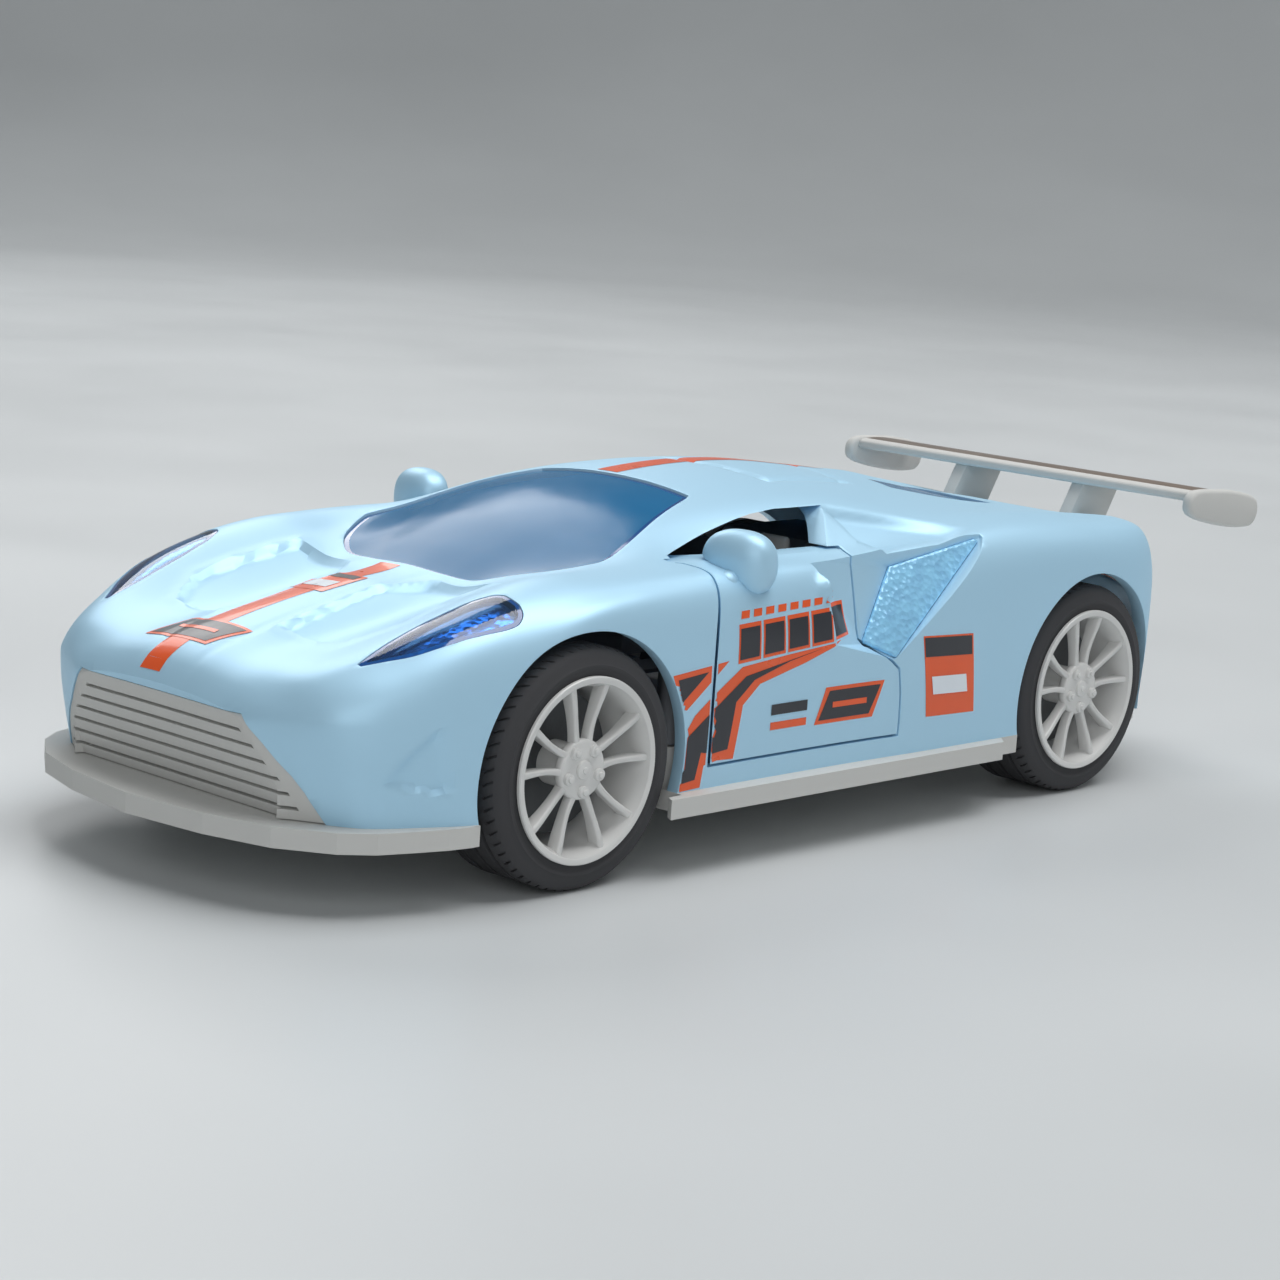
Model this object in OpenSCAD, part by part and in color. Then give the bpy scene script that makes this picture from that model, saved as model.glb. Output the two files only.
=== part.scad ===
// Pull-back race car, 1:32 toy: die-cast shell on a moulded chassis, two opening
// doors, a coil-spring motor on the rear axle. Millimetres, nose toward -Y, up +Z.

/* [Overall] */
// Distance between the two axles
wheelbase = 81; // [74:1:90]
// Overall width over the wheel arches
body_width = 56.4; // [54:0.2:62]
// Roof height above the underside of the chassis
body_height = 30.5; // [29:0.5:35]
// Height of the chassis underside above the ground
ride_height = 6.2; // [5.5:0.1:7]
// Wall of the die-cast shell and the doors
wall = 1.4; // [1.1:0.1:1.6]

/* [Wheels] */
// Tyre diameter
tyre_d = 24; // [22:0.5:25]
// Tyre width
tyre_w = 9.6; // [8:0.2:10]
// Rim diameter where the tyre sits
rim_d = 18; // [16:0.5:19]
// Axle diameter
axle_d = 2; // [1.6:0.1:2.4]
// Number of twin spokes on each rim
spoke_pairs = 5; // [4:1:6]
// Radial clearance between the wheel arch and the tyre
arch_gap = 1.5; // [1.2:0.1:2]

/* [Doors] */
// Shut-line gap round each door
door_gap = 0.3; // [0.2:0.05:0.5]
// Hinge pin diameter
hinge_pin_d = 1.2; // [1:0.1:1.4]
// Distance of the hinge pin inboard of the door skin
hinge_inset = 3; // [2.8:0.1:3.4]

/* [Motor] */
// Gear module
gear_module = 0.5; // [0.45:0.01:0.55]
// Teeth on the pinions
pinion_teeth = 12; // [12:1:14]
// Teeth on the idler wheel
idler_teeth = 24; // [22:1:26]
// Teeth on the spring barrel
barrel_teeth = 30; // [26:1:32]
// Face width of the gears
gear_w = 1.6; // [1.2:0.1:2]
// Mainspring strip thickness
spring_strip = 0.2; // [0.15:0.05:0.3]
// Turns of the relaxed mainspring
spring_turns = 6; // [4:1:7]

/* [Fits] */
// Radial running clearance of shafts in their bearings
run_gap = 0.05; // [0.03:0.01:0.1]
// Clearance round glazing and inserts
insert_gap = 0.1; // [0.05:0.05:0.2]
// Screw shank diameter
screw_d = 1.8; // [1.6:0.1:2]
// Screw head diameter
screw_head_d = 3.6; // [3.2:0.1:4]

/* [Hidden] */

paint = [0.50, 0.76, 0.93];
silver = [0.70, 0.70, 0.69];
blue_glass = [0.10, 0.25, 0.62];

// The body net below is drawn at these sizes and follows the driving ones
net_half_base = 40.5;
net_half_width = 28.2;
net_height = 30.5;
net_ride = 6.2;
half_base = wheelbase / 2;
// Tips of the splitter and the wing in the net; the origin lies half way between them
net_tip = -73.6;
net_tail = 75.6;
centre_y = -(net_tip + net_tail) / 2;
function my(y) = centre_y + (y < -net_half_base ? y + net_half_base - half_base
  : y > net_half_base ? y - net_half_base + half_base : y * half_base / net_half_base);
function mx(x) = x * body_width / 2 / net_half_width;
function mz(z) = ride_height + (z - net_ride) * body_height / net_height;

front_y = centre_y - half_base;
rear_y = centre_y + half_base;
wheel_z = tyre_d / 2;
wheel_face = body_width / 2;
arch_r = tyre_d / 2 + arch_gap;
floor_t = 2;
floor_z = ride_height + floor_t;
tiny = 0.01;

// Body net: [y, nine [x, z] points from the crown down to the sill]
stations = [
  [-70.6, [[0, 18.5], [3.5, 18.4], [7, 18.2], [10, 17.8], [12.5, 17], [13.6, 15.4], [14.8, 13], [16, 10.2], [16.8, 8.2]]],
  [-69, [[0, 20.6], [4, 20.5], [8, 20.1], [11.5, 19.6], [15, 18.4], [16.8, 16.5], [17.8, 14], [18.6, 11], [19, 8.2]]],
  [-66, [[0, 22.3], [4, 22.1], [8, 21.6], [12.5, 21.4], [17.5, 21], [20.6, 19], [21.8, 16], [22.2, 12], [22.4, 8.2]]],
  [-60, [[0, 24], [4, 23.7], [8, 22.8], [13, 23], [19.5, 23.7], [23.6, 21.8], [25, 18], [25.2, 13], [24.9, 8.2]]],
  [-54, [[0, 25.3], [4.2, 24.9], [8.5, 23.9], [14, 24.9], [20.5, 26.2], [25, 24.6], [26.9, 20], [27.2, 14], [26.8, 8.2]]],
  [-47, [[0, 26.5], [4.5, 26.1], [9, 25.3], [14.5, 26.8], [20.5, 28.4], [25.2, 26.9], [27.7, 23], [28, 16], [27.6, 8.2]]],
  [-40.5, [[0, 27.4], [5, 27.2], [10, 27], [15, 28.2], [20.5, 29.5], [25.3, 28.2], [27.9, 25.6], [28.2, 18], [27.8, 8.2]]],
  [-34, [[0, 29.8], [5, 29.6], [10, 29.1], [15.5, 28.9], [20.5, 29.7], [25.2, 28.8], [27.8, 26], [28.2, 18], [27.9, 8.2]]],
  [-27, [[0, 32.2], [5, 32], [10, 31.4], [16, 30.4], [20.8, 30], [25.2, 28.9], [27.6, 25.5], [28.1, 17], [27.9, 8.2]]],
  [-18, [[0, 34.3], [5, 34.2], [10, 33.7], [15.3, 32.6], [21.3, 30.1], [25.3, 28.8], [27.3, 25], [27.9, 17], [27.8, 8.2]]],
  [-9, [[0, 35.6], [5.5, 35.4], [11, 34.7], [16, 33.5], [21.8, 30.1], [25.4, 28.5], [27.1, 24.5], [27.8, 17], [27.8, 8.2]]],
  [0, [[0, 36.2], [5.5, 36], [11, 35.2], [16.2, 33.8], [21.8, 30.2], [25.2, 28.4], [27, 24.4], [27.9, 17], [27.9, 8.2]]],
  [9, [[0, 36.1], [5.5, 35.8], [11, 34.9], [16.2, 33.6], [21.5, 30.8], [25.6, 29.2], [27.8, 25], [28.4, 17], [28.2, 8.2]]],
  [18, [[0, 35.2], [5.5, 34.9], [11, 34.1], [16.3, 32.8], [21.5, 31.4], [26, 30.2], [28.3, 26], [28.6, 18], [28.3, 8.2]]],
  [27, [[0, 34.1], [5.5, 33.8], [11, 33], [16.3, 32.2], [21.5, 31.9], [26, 30.6], [28.5, 26.5], [28.7, 18], [28.4, 8.2]]],
  [36, [[0, 32.6], [5.5, 32.3], [11, 31.8], [16.3, 31.6], [21.5, 31.7], [26, 30.4], [28.4, 26.8], [28.6, 18], [28.3, 8.2]]],
  [45, [[0, 30.9], [5.5, 30.8], [11, 30.7], [16.3, 30.8], [21.5, 31], [25.8, 29.8], [28.1, 26], [28.3, 17], [28, 8.6]]],
  [53, [[0, 29.8], [5.5, 29.7], [11, 29.7], [16, 29.9], [21, 30.3], [25, 29.2], [27, 25], [27.2, 17], [26.8, 9.5]]],
  [57, [[0, 29.1], [5, 29.1], [10, 29.1], [14.8, 29.2], [19.6, 29.5], [22.8, 28.4], [24.2, 24.5], [24.4, 17], [24, 10]]],
  [60, [[0, 28.6], [4.6, 28.6], [9, 28.6], [13.4, 28.7], [17.6, 28.9], [20.2, 27.8], [21.3, 24], [21.5, 17], [21.2, 10]]],
  [64, [[0, 28], [3.6, 28], [7.2, 28], [10.6, 28], [13.6, 28], [15.4, 27], [16.2, 24], [16.4, 17], [16, 10]]],
  [68, [[0, 27.2], [2, 27.2], [4, 27.2], [6, 27.1], [7.8, 27], [9, 26], [9.4, 23], [9.5, 17], [9.2, 10.4]]]
];
net_front = stations[0][0];
net_rear = stations[len(stations) - 1][0];
rings_per_span = 2;
outer_points = 3;
inner_points = 2;

// Span that holds y, then smooth interpolation of the whole net along the car
function span_of(y, i = 0) = i >= len(stations) - 2 || y < stations[i + 1][0] ? i : span_of(y, i + 1);
function slope(i) =
  let (a = max(i - 1, 0), b = min(i + 1, len(stations) - 1))
  (stations[b][1] - stations[a][1]) / (stations[b][0] - stations[a][0]);
function net_at(y) =
  let (i = span_of(y), p = stations[i], q = stations[i + 1], h = q[0] - p[0], t = (y - p[0]) / h)
  p[1] * (1 - 3 * t * t + 2 * t * t * t) + q[1] * (3 * t * t - 2 * t * t * t)
  + slope(i) * h * (t - 2 * t * t + t * t * t) + slope(i + 1) * h * (t * t * t - t * t);
function spline(a, b, c, d, t) =
  b + 0.5 * t * (c - a + t * (2 * a - 5 * b + 4 * c - d + t * (3 * (b - c) + d - a)));
function net_point(net, j) =
  j < 0 ? [-net[1][0], net[1][1]] : j > 8 ? 2 * net[8] - net[7] : net[j];
function half_section(net, fine) = concat(
  [for (j = [0:7]) for (k = [0:fine - 1])
    spline(net_point(net, j - 1), net[j], net[j + 1], net_point(net, j + 2), k / fine)],
  [net[8]]);
// Half section moved inward by d, still in net units
function inward(half, d) = [for (j = [0:len(half) - 1])
  let (a = j == 0 ? [-half[1][0], half[1][1]] : half[j - 1],
       b = j == len(half) - 1 ? half[j] + [0, -1] : half[j + 1],
       t = (b - a) / norm(b - a))
  [max(half[j][0] + t[1] * d, 0), half[j][1] - t[0] * d]];
// The nose leans back below the bonnet edge
nose_rake = 0.34;
rake_top = 18;
rake_end = -54;
function raked(y, z) =
  y >= rake_end || z >= rake_top ? 0 : nose_rake * (rake_top - z) * (rake_end - y) / (rake_end - net_front);
function ring_y(y, d) = y + d * (1 - 2 * (y - net_front) / (net_rear - net_front));
function ring(y, d, foot, fine) =
  let (half = inward(half_section(net_at(y), fine), d), n = len(half), yy = ring_y(y, d),
       low = my(yy + raked(y, half[n - 1][1])))
  concat(
    [for (p = half) [mx(p[0]), my(yy + raked(y, p[1])), mz(p[1])]],
    [[mx(half[n - 1][0]), low, foot], [-mx(half[n - 1][0]), low, foot]],
    [for (j = [n - 1:-1:1]) [-mx(half[j][0]), my(yy + raked(y, half[j][1])), mz(half[j][1])]]);

// Closed solid bounded by the body surface moved inward by d, with a flat foot
module body_form(d, foot, fine = outer_points) {
  count = len(stations) - 1;
  rings = [for (i = [0:count - 1]) for (k = [0:rings_per_span - 1])
    let (y = stations[i][0] + (stations[i + 1][0] - stations[i][0]) * k / rings_per_span)
    ring(y, d, foot, fine)];
  all = concat(rings, [ring(net_rear, d, foot, fine)]);
  m = len(all[0]);
  polyhedron(
    points = [for (r = all) each r],
    faces = concat(
      [[for (j = [0:m - 1]) j]],
      [for (i = [0:len(all) - 2]) for (j = [0:m - 1]) each [
        [i * m + j, (i + 1) * m + (j + 1) % m, i * m + (j + 1) % m],
        [i * m + j, (i + 1) * m + j, (i + 1) * m + (j + 1) % m]]],
      [[for (j = [m - 1:-1:0]) (len(all) - 1) * m + j]]),
    convexity = 8);
}
// Skin of the body between two depths under its surface
module skin(d_out, d_in) {
  difference() {
    body_form(d_out, floor_z);
    body_form(d_in, floor_z - 2, inner_points);
  }
}
module both_sides() {
  children();
  mirror([1, 0, 0]) children();
}

// A column along Z through plan rows [y, x_in, x_out], as hulled strips
module plan_column(rows, z0, z1, grow = 0) {
  for (i = [0:len(rows) - 2])
    hull()
      for (r = [rows[i], rows[i + 1]]) {
        e = r == rows[0] ? -grow : r == rows[len(rows) - 1] ? grow : 0;
        translate([mx(r[1]) - grow, my(r[0]) + e - tiny / 2, z0])
          cube([mx(r[2]) - mx(r[1]) + 2 * grow, tiny, z1 - z0]);
      }
}
// A bar along X through side rows [z, y_front, y_rear], as hulled strips
module side_column(rows, x0, x1, grow = 0) {
  for (i = [0:len(rows) - 2])
    hull()
      for (r = [rows[i], rows[i + 1]]) {
        e = r == rows[0] ? -grow : r == rows[len(rows) - 1] ? grow : 0;
        translate([x0, my(r[1]) - grow, mz(r[0]) + e - tiny / 2])
          cube([x1 - x0, my(r[2]) - my(r[1]) + 2 * grow, tiny]);
      }
}

// Glass outlines
screen_rows = [[-39.6, -5, 5], [-39.2, -9, 9], [-38.1, -11.2, 11.2], [-36.2, -13.3, 13.3], [-33.5, -15.3, 15.3],
  [-31, -16.7, 16.7], [-29, -17.2, 17.2], [-24, -15.7, 15.7], [-18, -13.7, 13.7], [-12, -11.7, 11.7],
  [-10.3, -10.9, 10.9]];
back_rows = [[26, -9, 9], [28, -9.6, 9.6], [30, -10.1, 10.1], [32, -10.5, 10.5], [34, -10.8, 10.8],
  [36, -11, 11], [38, -11, 11], [40, -10.9, 10.9], [42, -10.5, 10.5], [44, -9.8, 9.8]];
lamp_rows = [[-62.2, 19, 19.4], [-60.5, 18.8, 20.7], [-58.5, 18.7, 22.2], [-56, 18.8, 23.4], [-53.5, 19, 24.3],
  [-51, 19.4, 25], [-49.4, 19.7, 25.3], [-48.2, 20.2, 25.3], [-47.2, 20.8, 24.7], [-46.7, 21.6, 23.6]];
// Door outline and side window outline
door_front = -23.3;
door_rows = [[10.6, -23.3, 6.2], [12, -23.3, 6.2], [15, -23.4, 6], [17.6, -23.4, 5.6], [18.4, -23.5, 4.6],
  [19.6, -23.5, 2.8], [20.8, -23.5, 1.2], [22, -23.5, 1.1], [25, -23.5, 1.3], [27.4, -23.4, 1.4], [29.9, -23.4, 1.4]];
window_rows = [[29.9, -23.2, -0.4], [30.4, -22.6, 0.2], [30.9, -20, 0.9], [31.4, -17.6, 1.6], [31.9, -15.2, 2.3],
  [32.4, -12.6, 3], [32.9, -9.8, 3.7], [33.3, -7, 4.3], [33.6, -3, 4.7]];
side_clear = 40;
cabin_depth = 13;

// Hinge axis inside the skin just ahead of the door
hinge_x = mx(27.5) - hinge_inset;
hinge_lead = 2.2;
hinge_y = my(door_front) - hinge_lead;
post_edge_r = norm([mx(28) - hinge_x, hinge_lead - door_gap]);
door_edge_r = post_edge_r + 0.27;
arm_z0 = mz(12.5);
arm_h = 7;
knuckle_r = hinge_pin_d / 2 + 0.6;

module door_column(grow) {
  difference() {
    side_column(door_rows, mx(16), side_clear, grow);
    if (grow > 0) translate([hinge_x, hinge_y, 0]) cylinder(r = post_edge_r, h = 60, $fn = 48);
    if (grow <= 0) translate([hinge_x, hinge_y, 0]) cylinder(r = door_edge_r - grow, h = 60, $fn = 48);
  }
}
// Valley in the flank that leads air to the side intake: crest, foot, inner and
// outer corners of the intake face, then the two corners of the valley floor
intake_crest = [25.5, 21.3, 30.4];
intake_foot = [27.9, 5, 18.8];
intake_inner = [23.6, 8.3, 27.7];
intake_low = [26, 1.8, 20.3];
valley_top = [24.2, -5.5, 29.4];
valley_low = [27.4, -4, 21];
function placed(p) = [mx(p[0]), my(p[1]), mz(p[2])];
module scoop(grow) {
  hull() {
    for (p = [intake_crest, intake_foot, intake_inner, intake_low, valley_top, valley_low,
      [24.2, 7.5, 31.5], [25.6, 21.3, 33], [24.2, -5.5, 31.5]])
      translate(placed(p)) sphere(r = 0.05 + grow, $fn = 12);
    for (p = [[1, -5.5, 33], [1, 21.3, 33], [1, -4, 21], [1, 5, 18.8]])
      translate([side_clear + p[0], my(p[1]), mz(p[2])]) sphere(r = 0.05 + grow, $fn = 12);
  }
}
module wheel_arches() {
  for (y = [front_y, rear_y])
    both_sides()
      translate([mx(15.2), y, wheel_z]) rotate([0, 90, 0]) cylinder(r = arch_r, h = 20, $fn = 96);
}

// Grille outline seen from the front: rows [z, half width]
grille_rows = [[8.2, 19.4], [9.6, 18.7], [11, 18], [12.4, 17], [13.8, 15.6], [15.2, 14.4], [16.4, 13.2], [17.6, 12.2]];
grille_back = -58;
module grille_column(grow) {
  for (i = [0:len(grille_rows) - 2])
    hull()
      for (r = [grille_rows[i], grille_rows[i + 1]]) {
        e = r == grille_rows[0] ? -2 : r == grille_rows[len(grille_rows) - 1] ? grow : 0;
        translate([-mx(r[1]) - grow, my(-76), mz(r[0]) + e - tiny / 2])
          cube([2 * (mx(r[1]) + grow), my(grille_back) - my(-76), tiny]);
      }
}

// Screw posts: [x, y, top]
posts = [[11, -61, 22], [-11, -61, 22], [11, 50.2, 28], [-11, 50.2, 28]];
post_r = screw_d / 2 + 1.2;
module screw_posts() {
  for (p = posts) {
    translate([mx(p[0]), my(p[1]), floor_z]) cylinder(r = post_r, h = mz(p[2]) + 4 - floor_z, $fn = 24);
    for (a = [0, 90])
      hull()
        for (s = [-1, 1])
          translate([mx(p[0]) + s * cos(a) * (post_r + 1), my(p[1]) + s * sin(a) * (post_r + 1), mz(16)])
            cylinder(r = 0.4, h = mz(p[2]) + 4 - mz(16), $fn = 8);
  }
}
module screw_holes() {
  for (p = posts)
    translate([mx(p[0]), my(p[1]), floor_z - 1])
      cylinder(r = screw_d / 2 + insert_gap, h = screw_length, $fn = 24);
}
screw_length = 9;

module body_shell() {
  color(paint)
    difference() {
      union() {
        skin(0, wall);
        intersection() {
          body_form(wall / 2, floor_z);
          union() {
            screw_posts();
            // Inner walls behind the side intakes
            both_sides() intersection() {
              scoop(wall);
              side_column([[16, -8, 24], [32, -8, 24]], mx(18), side_clear);
            }
          }
        }
      }
      screw_holes();
      wheel_arches();
      plan_column(screen_rows, mz(20), mz(50), insert_gap);
      plan_column(back_rows, mz(20), mz(50), insert_gap);
      both_sides() {
        plan_column(lamp_rows, mz(16), mz(50), insert_gap);
        door_column(door_gap);
        side_column(window_rows, mx(cabin_depth), side_clear);
        scoop(0);
      }
      grille_column(insert_gap);
      tail_lamp_cut(insert_gap);
      rear_grille_cut();
      diffuser_cut();
      for (s = [-1, 1]) translate([s * mx(9), 0, 0]) wing_strut();
      both_sides() intake_insert(insert_gap / 2);
    }
}
pane_t = 0.9;
pane_inset = 0.25;
module windscreen() {
  color(blue_glass, 0.5)
    intersection() {
      skin(pane_inset, pane_inset + pane_t);
      plan_column(screen_rows, mz(20), mz(50));
    }
}
module rear_window() {
  color(blue_glass, 0.5)
    intersection() {
      skin(pane_inset, pane_inset + pane_t);
      plan_column(back_rows, mz(20), mz(50));
    }
}
module headlight_lens_left() {
  color(blue_glass, 0.6)
    difference() {
      intersection() {
        skin(0.1, 0.1 + pane_t);
        plan_column(lamp_rows, mz(14), mz(50));
      }
      wheel_arches();
    }
}
module headlight_lens_right() {
  mirror([1, 0, 0]) headlight_lens_left();
}
module headlight_reflector_left() {
  color(silver)
    difference() {
      intersection() {
        skin(0.1 + pane_t + 0.3, 0.1 + pane_t + 1.3);
        plan_column(lamp_rows, mz(14), mz(50));
      }
      wheel_arches();
    }
}
module headlight_reflector_right() {
  mirror([1, 0, 0]) headlight_reflector_left();
}

louvre_count = 7;
module front_grille() {
  pitch = (mz(17.6) - floor_z) / louvre_count;
  color(silver)
    intersection() {
      grille_column(0);
      translate([-side_clear, my(-76), floor_z + insert_gap])
        cube([2 * side_clear, my(-60) - my(-76), 20]);
      union() {
        skin(1.1, 2);
        difference() {
          skin(0.1, 1.3);
          for (i = [1:louvre_count - 1])
            translate([-side_clear, my(-76), floor_z + i * pitch - 0.35])
              cube([2 * side_clear, 18, 0.45]);
        }
      }
    }
}

insert_scale = 0.84;
insert_edge = 0.35;
module intake_insert(grow) {
  corners = [intake_crest, intake_foot, intake_low, intake_inner];
  middle = (corners[0] + corners[1] + corners[2] + corners[3]) / 4;
  hull()
    for (p = corners)
      translate(placed(middle + insert_scale * (p - middle))) sphere(r = insert_edge + grow, $fn = 8);
}
module side_intake_left() {
  color(paint * 0.95) intake_insert(0);
}
module side_intake_right() {
  mirror([1, 0, 0]) side_intake_left();
}

// Rear lamps and grille
tail_front = 52;
tail_half = 20.5;
module tail_lamp_cut(grow) {
  translate([-mx(tail_half) - grow, my(tail_front + 4), mz(21.4) - grow])
    cube([2 * (mx(tail_half) + grow), my(80) - my(tail_front + 4), mz(25.4) - mz(21.4) + 2 * grow]);
}
module tail_lamps() {
  color([0.65, 0.05, 0.06])
    intersection() {
      skin(0.2, 1.5);
      tail_lamp_cut(0);
    }
}
module rear_grille_cut() {
  translate([-mx(13), my(58), mz(diffuser_top) - 1]) cube([2 * mx(13), my(80) - my(58), mz(18.5) - mz(diffuser_top) + 1]);
}
diffuser_top = 10.2;
module diffuser_cut() {
  translate([-side_clear, my(54.8), floor_z - 1])
    cube([2 * side_clear, my(80) - my(54.8), mz(diffuser_top) - floor_z + 1]);
}
module rear_diffuser() {
  color(silver) {
    translate([0, 0, floor_z])
      linear_extrude(height = mz(diffuser_top) - floor_z)
        polygon([for (p = [[-23.4, 55], [23.4, 55], [23.4, 56], [20, 60], [16, 64.4], [9, 68.6], [-9, 68.6], [-16, 64.4], [-20, 60], [-23.4, 56]])
          [mx(p[0]), my(p[1])]]);
    for (s = [-2:2])
      translate([mx(s * 4.2) - 0.4, my(60), mz(diffuser_top)])
        cube([0.8, my(67.6) - my(60) - abs(s) * 1.6, mz(12.4) - mz(diffuser_top)]);
    translate([-mx(12.4), my(61.4), mz(diffuser_top)])
      cube([2 * mx(12.4), 0.9, mz(18) - mz(diffuser_top)]);
  }
}

// Wing: blade, two raked struts and an end plate at each tip
wing_half = 25.4;
module wing_strut() {
  rotate([90, 0, 90])
    translate([0, 0, -0.9])
      linear_extrude(height = 1.8)
        polygon([for (p = [[59.6, 28.2], [67, 27], [70.4, 31.8], [62.6, 32.2]]) [my(p[0]), mz(p[1])]]);
}
module rear_wing() {
  color(silver) {
    rotate([90, 0, 90])
      translate([0, 0, -mx(wing_half)])
        linear_extrude(height = 2 * mx(wing_half))
          polygon([for (p = [[61.8, 33.1], [62.4, 33.5], [66, 33.5], [71.6, 32.6], [71.6, 32], [66, 32], [62.2, 32.1]])
            [my(p[0]), mz(p[1])]]);
    for (s = [-1, 1]) {
      translate([s * mx(9), 0, 0]) wing_strut();
      translate([s * (mx(wing_half) + 0.7), 0, 0])
        rotate([90, 0, 90])
          translate([0, 0, -0.7])
            linear_extrude(height = 1.4)
              polygon([for (p = [[60.4, 32.4], [61.6, 33.7], [70, 33.4], [74.6, 32.4], [75.6, 31], [75.2, 29.4],
                [73.6, 28.6], [68, 29], [61.4, 30.4]]) [my(p[0]), mz(p[1])]]);
    }
  }
}

// Chassis pan with splitter, skirts, axle bearings and hinge sockets
well_x = mx(28.2) - tyre_w - 2.4;
pan_outline = [[0, net_tip], [10, -72.4], [17.3, -70.3], [22.4, -66.8], [24.6, -63.8], [25.8, -60.3], [26.8, -57], [27.2, -54.6]];
bearing_t = 3;
module chassis() {
  color(silver)
    difference() {
      union() {
        translate([0, 0, ride_height])
          linear_extrude(height = floor_t) {
            both_sides() {
              polygon(concat([for (p = pan_outline) [mx(p[0]), my(p[1])]],
                [[mx(27.2), front_y - arch_r + 0.5], [0, front_y - arch_r + 0.5]]));
              polygon([[0, front_y + arch_r - 0.6], [mx(28.6), front_y + arch_r - 0.6], [mx(28.7), front_y + arch_r - 2.6],
                [mx(29.7), front_y + arch_r - 3.2], [mx(30), my(23)], [mx(28.4), my(24.6)], [mx(28.4), rear_y - arch_r + 0.6],
                [0, rear_y - arch_r + 0.6]]);
              polygon([[0, rear_y + arch_r - 0.2], [mx(25.2), rear_y + arch_r - 0.2], [mx(23.8), my(57)],
                [mx(20.6), my(60.4)], [mx(16), my(64.6)], [mx(9), my(68.9)], [0, my(68.9)]]);
              translate([0, my(-66)]) square([well_x, my(64) - my(-66)]);
            }
          }
        both_sides()
          translate([well_x - bearing_t, front_y - 3, floor_z])
            cube([bearing_t, 6, wheel_z + 2.6 - floor_z]);
        both_sides()
          translate([hinge_x, hinge_y, floor_z])
            cylinder(r = knuckle_r + 0.3, h = arm_z0 - 0.2 - floor_z, $fn = 32);
      }
      translate([-side_clear, front_y, wheel_z]) rotate([0, 90, 0])
        cylinder(r = axle_d / 2 + run_gap, h = 2 * side_clear, $fn = 32);
      both_sides()
        translate([hinge_x, hinge_y, ride_height + 0.8])
          cylinder(r = hinge_pin_d / 2, h = 20, $fn = 32);
      for (p = posts)
        translate([mx(p[0]), my(p[1]), ride_height - 1]) {
          cylinder(r = screw_d / 2 + insert_gap, h = 10, $fn = 32);
          cylinder(r = screw_head_d / 2 + insert_gap, h = 1 + screw_head_t, $fn = 32);
        }
    }
}
screw_head_t = 1;
module chassis_screws() {
  color([0.55, 0.55, 0.57])
    for (p = posts)
      translate([mx(p[0]), my(p[1]), ride_height])
        difference() {
          union() {
            cylinder(r = screw_head_d / 2, h = screw_head_t, $fn = 32);
            cylinder(r = screw_d / 2, h = screw_length - 1.6, $fn = 32);
          }
          for (a = [0, 90]) rotate([0, 0, a])
            translate([-1.2, -0.2, -0.1]) cube([2.4, 0.4, 0.6]);
        }
}

// Cabin
tub_half = 20.2;
tub_front = -27;
tub_rear = 9.6;
tub_z = 10.4;
tub_t = 1;
module interior_tub() {
  color([0.16, 0.17, 0.19]) {
    translate([-mx(tub_half), my(tub_front), mz(tub_z)])
      cube([2 * mx(tub_half), my(tub_rear) - my(tub_front), tub_t]);
    translate([-mx(tub_half), my(tub_rear) - tub_t, mz(tub_z)])
      cube([2 * mx(tub_half), tub_t, mz(27) - mz(tub_z)]);
    translate([-mx(tub_half), my(tub_front), mz(tub_z)])
      cube([2 * mx(tub_half), tub_t, mz(20.4) - mz(tub_z)]);
    translate([-2.2, my(tub_front), mz(tub_z)])
      cube([4.4, my(tub_rear) - my(tub_front), mz(14) - mz(tub_z)]);
    for (x = [-mx(12), mx(12)])
      for (y = [-16, 5])
        translate([x, my(y), floor_z]) cylinder(r = 1.5, h = mz(tub_z) - floor_z, $fn = 32);
  }
}
seat_x = 10;
module seat() {
  base = mz(tub_z) + tub_t;
  hull() {
    translate([mx(seat_x) - 5.6, my(-10), base]) cube([11.2, 11, 2.4]);
    translate([mx(seat_x) - 5.2, my(-9.6), base + 2.6]) cube([10.4, 9, 0.8]);
  }
  hull() {
    translate([mx(seat_x) - 5.4, my(-10) + 8.4, base + 2]) cube([10.8, 2.6, 1]);
    translate([mx(seat_x) - 4.6, my(-10) + 13.6, base + 14]) cube([9.2, 2, 1]);
  }
  hull() {
    translate([mx(seat_x) - 2.6, my(-10) + 13.8, base + 14.8]) cube([5.2, 1.8, 0.4]);
    translate([mx(seat_x) - 2.1, my(-10) + 14.8, base + 17.6]) cube([4.2, 1.4, 0.4]);
  }
}
module seat_left() {
  color([0.55, 0.55, 0.54]) seat();
}
module seat_right() {
  color([0.55, 0.55, 0.54]) mirror([1, 0, 0]) seat();
}
dash_points = [[-27, 20.4], [-27, 26], [-25, 27], [-21.6, 25.4], [-20.6, 23], [-22.4, 20.4]];
module dashboard() {
  color([0.2, 0.21, 0.23])
    rotate([90, 0, 90])
      translate([0, 0, -mx(18.6)])
        linear_extrude(height = 2 * mx(18.6))
          polygon([for (p = dash_points) [my(p[0]), mz(p[1])]]);
}
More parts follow.
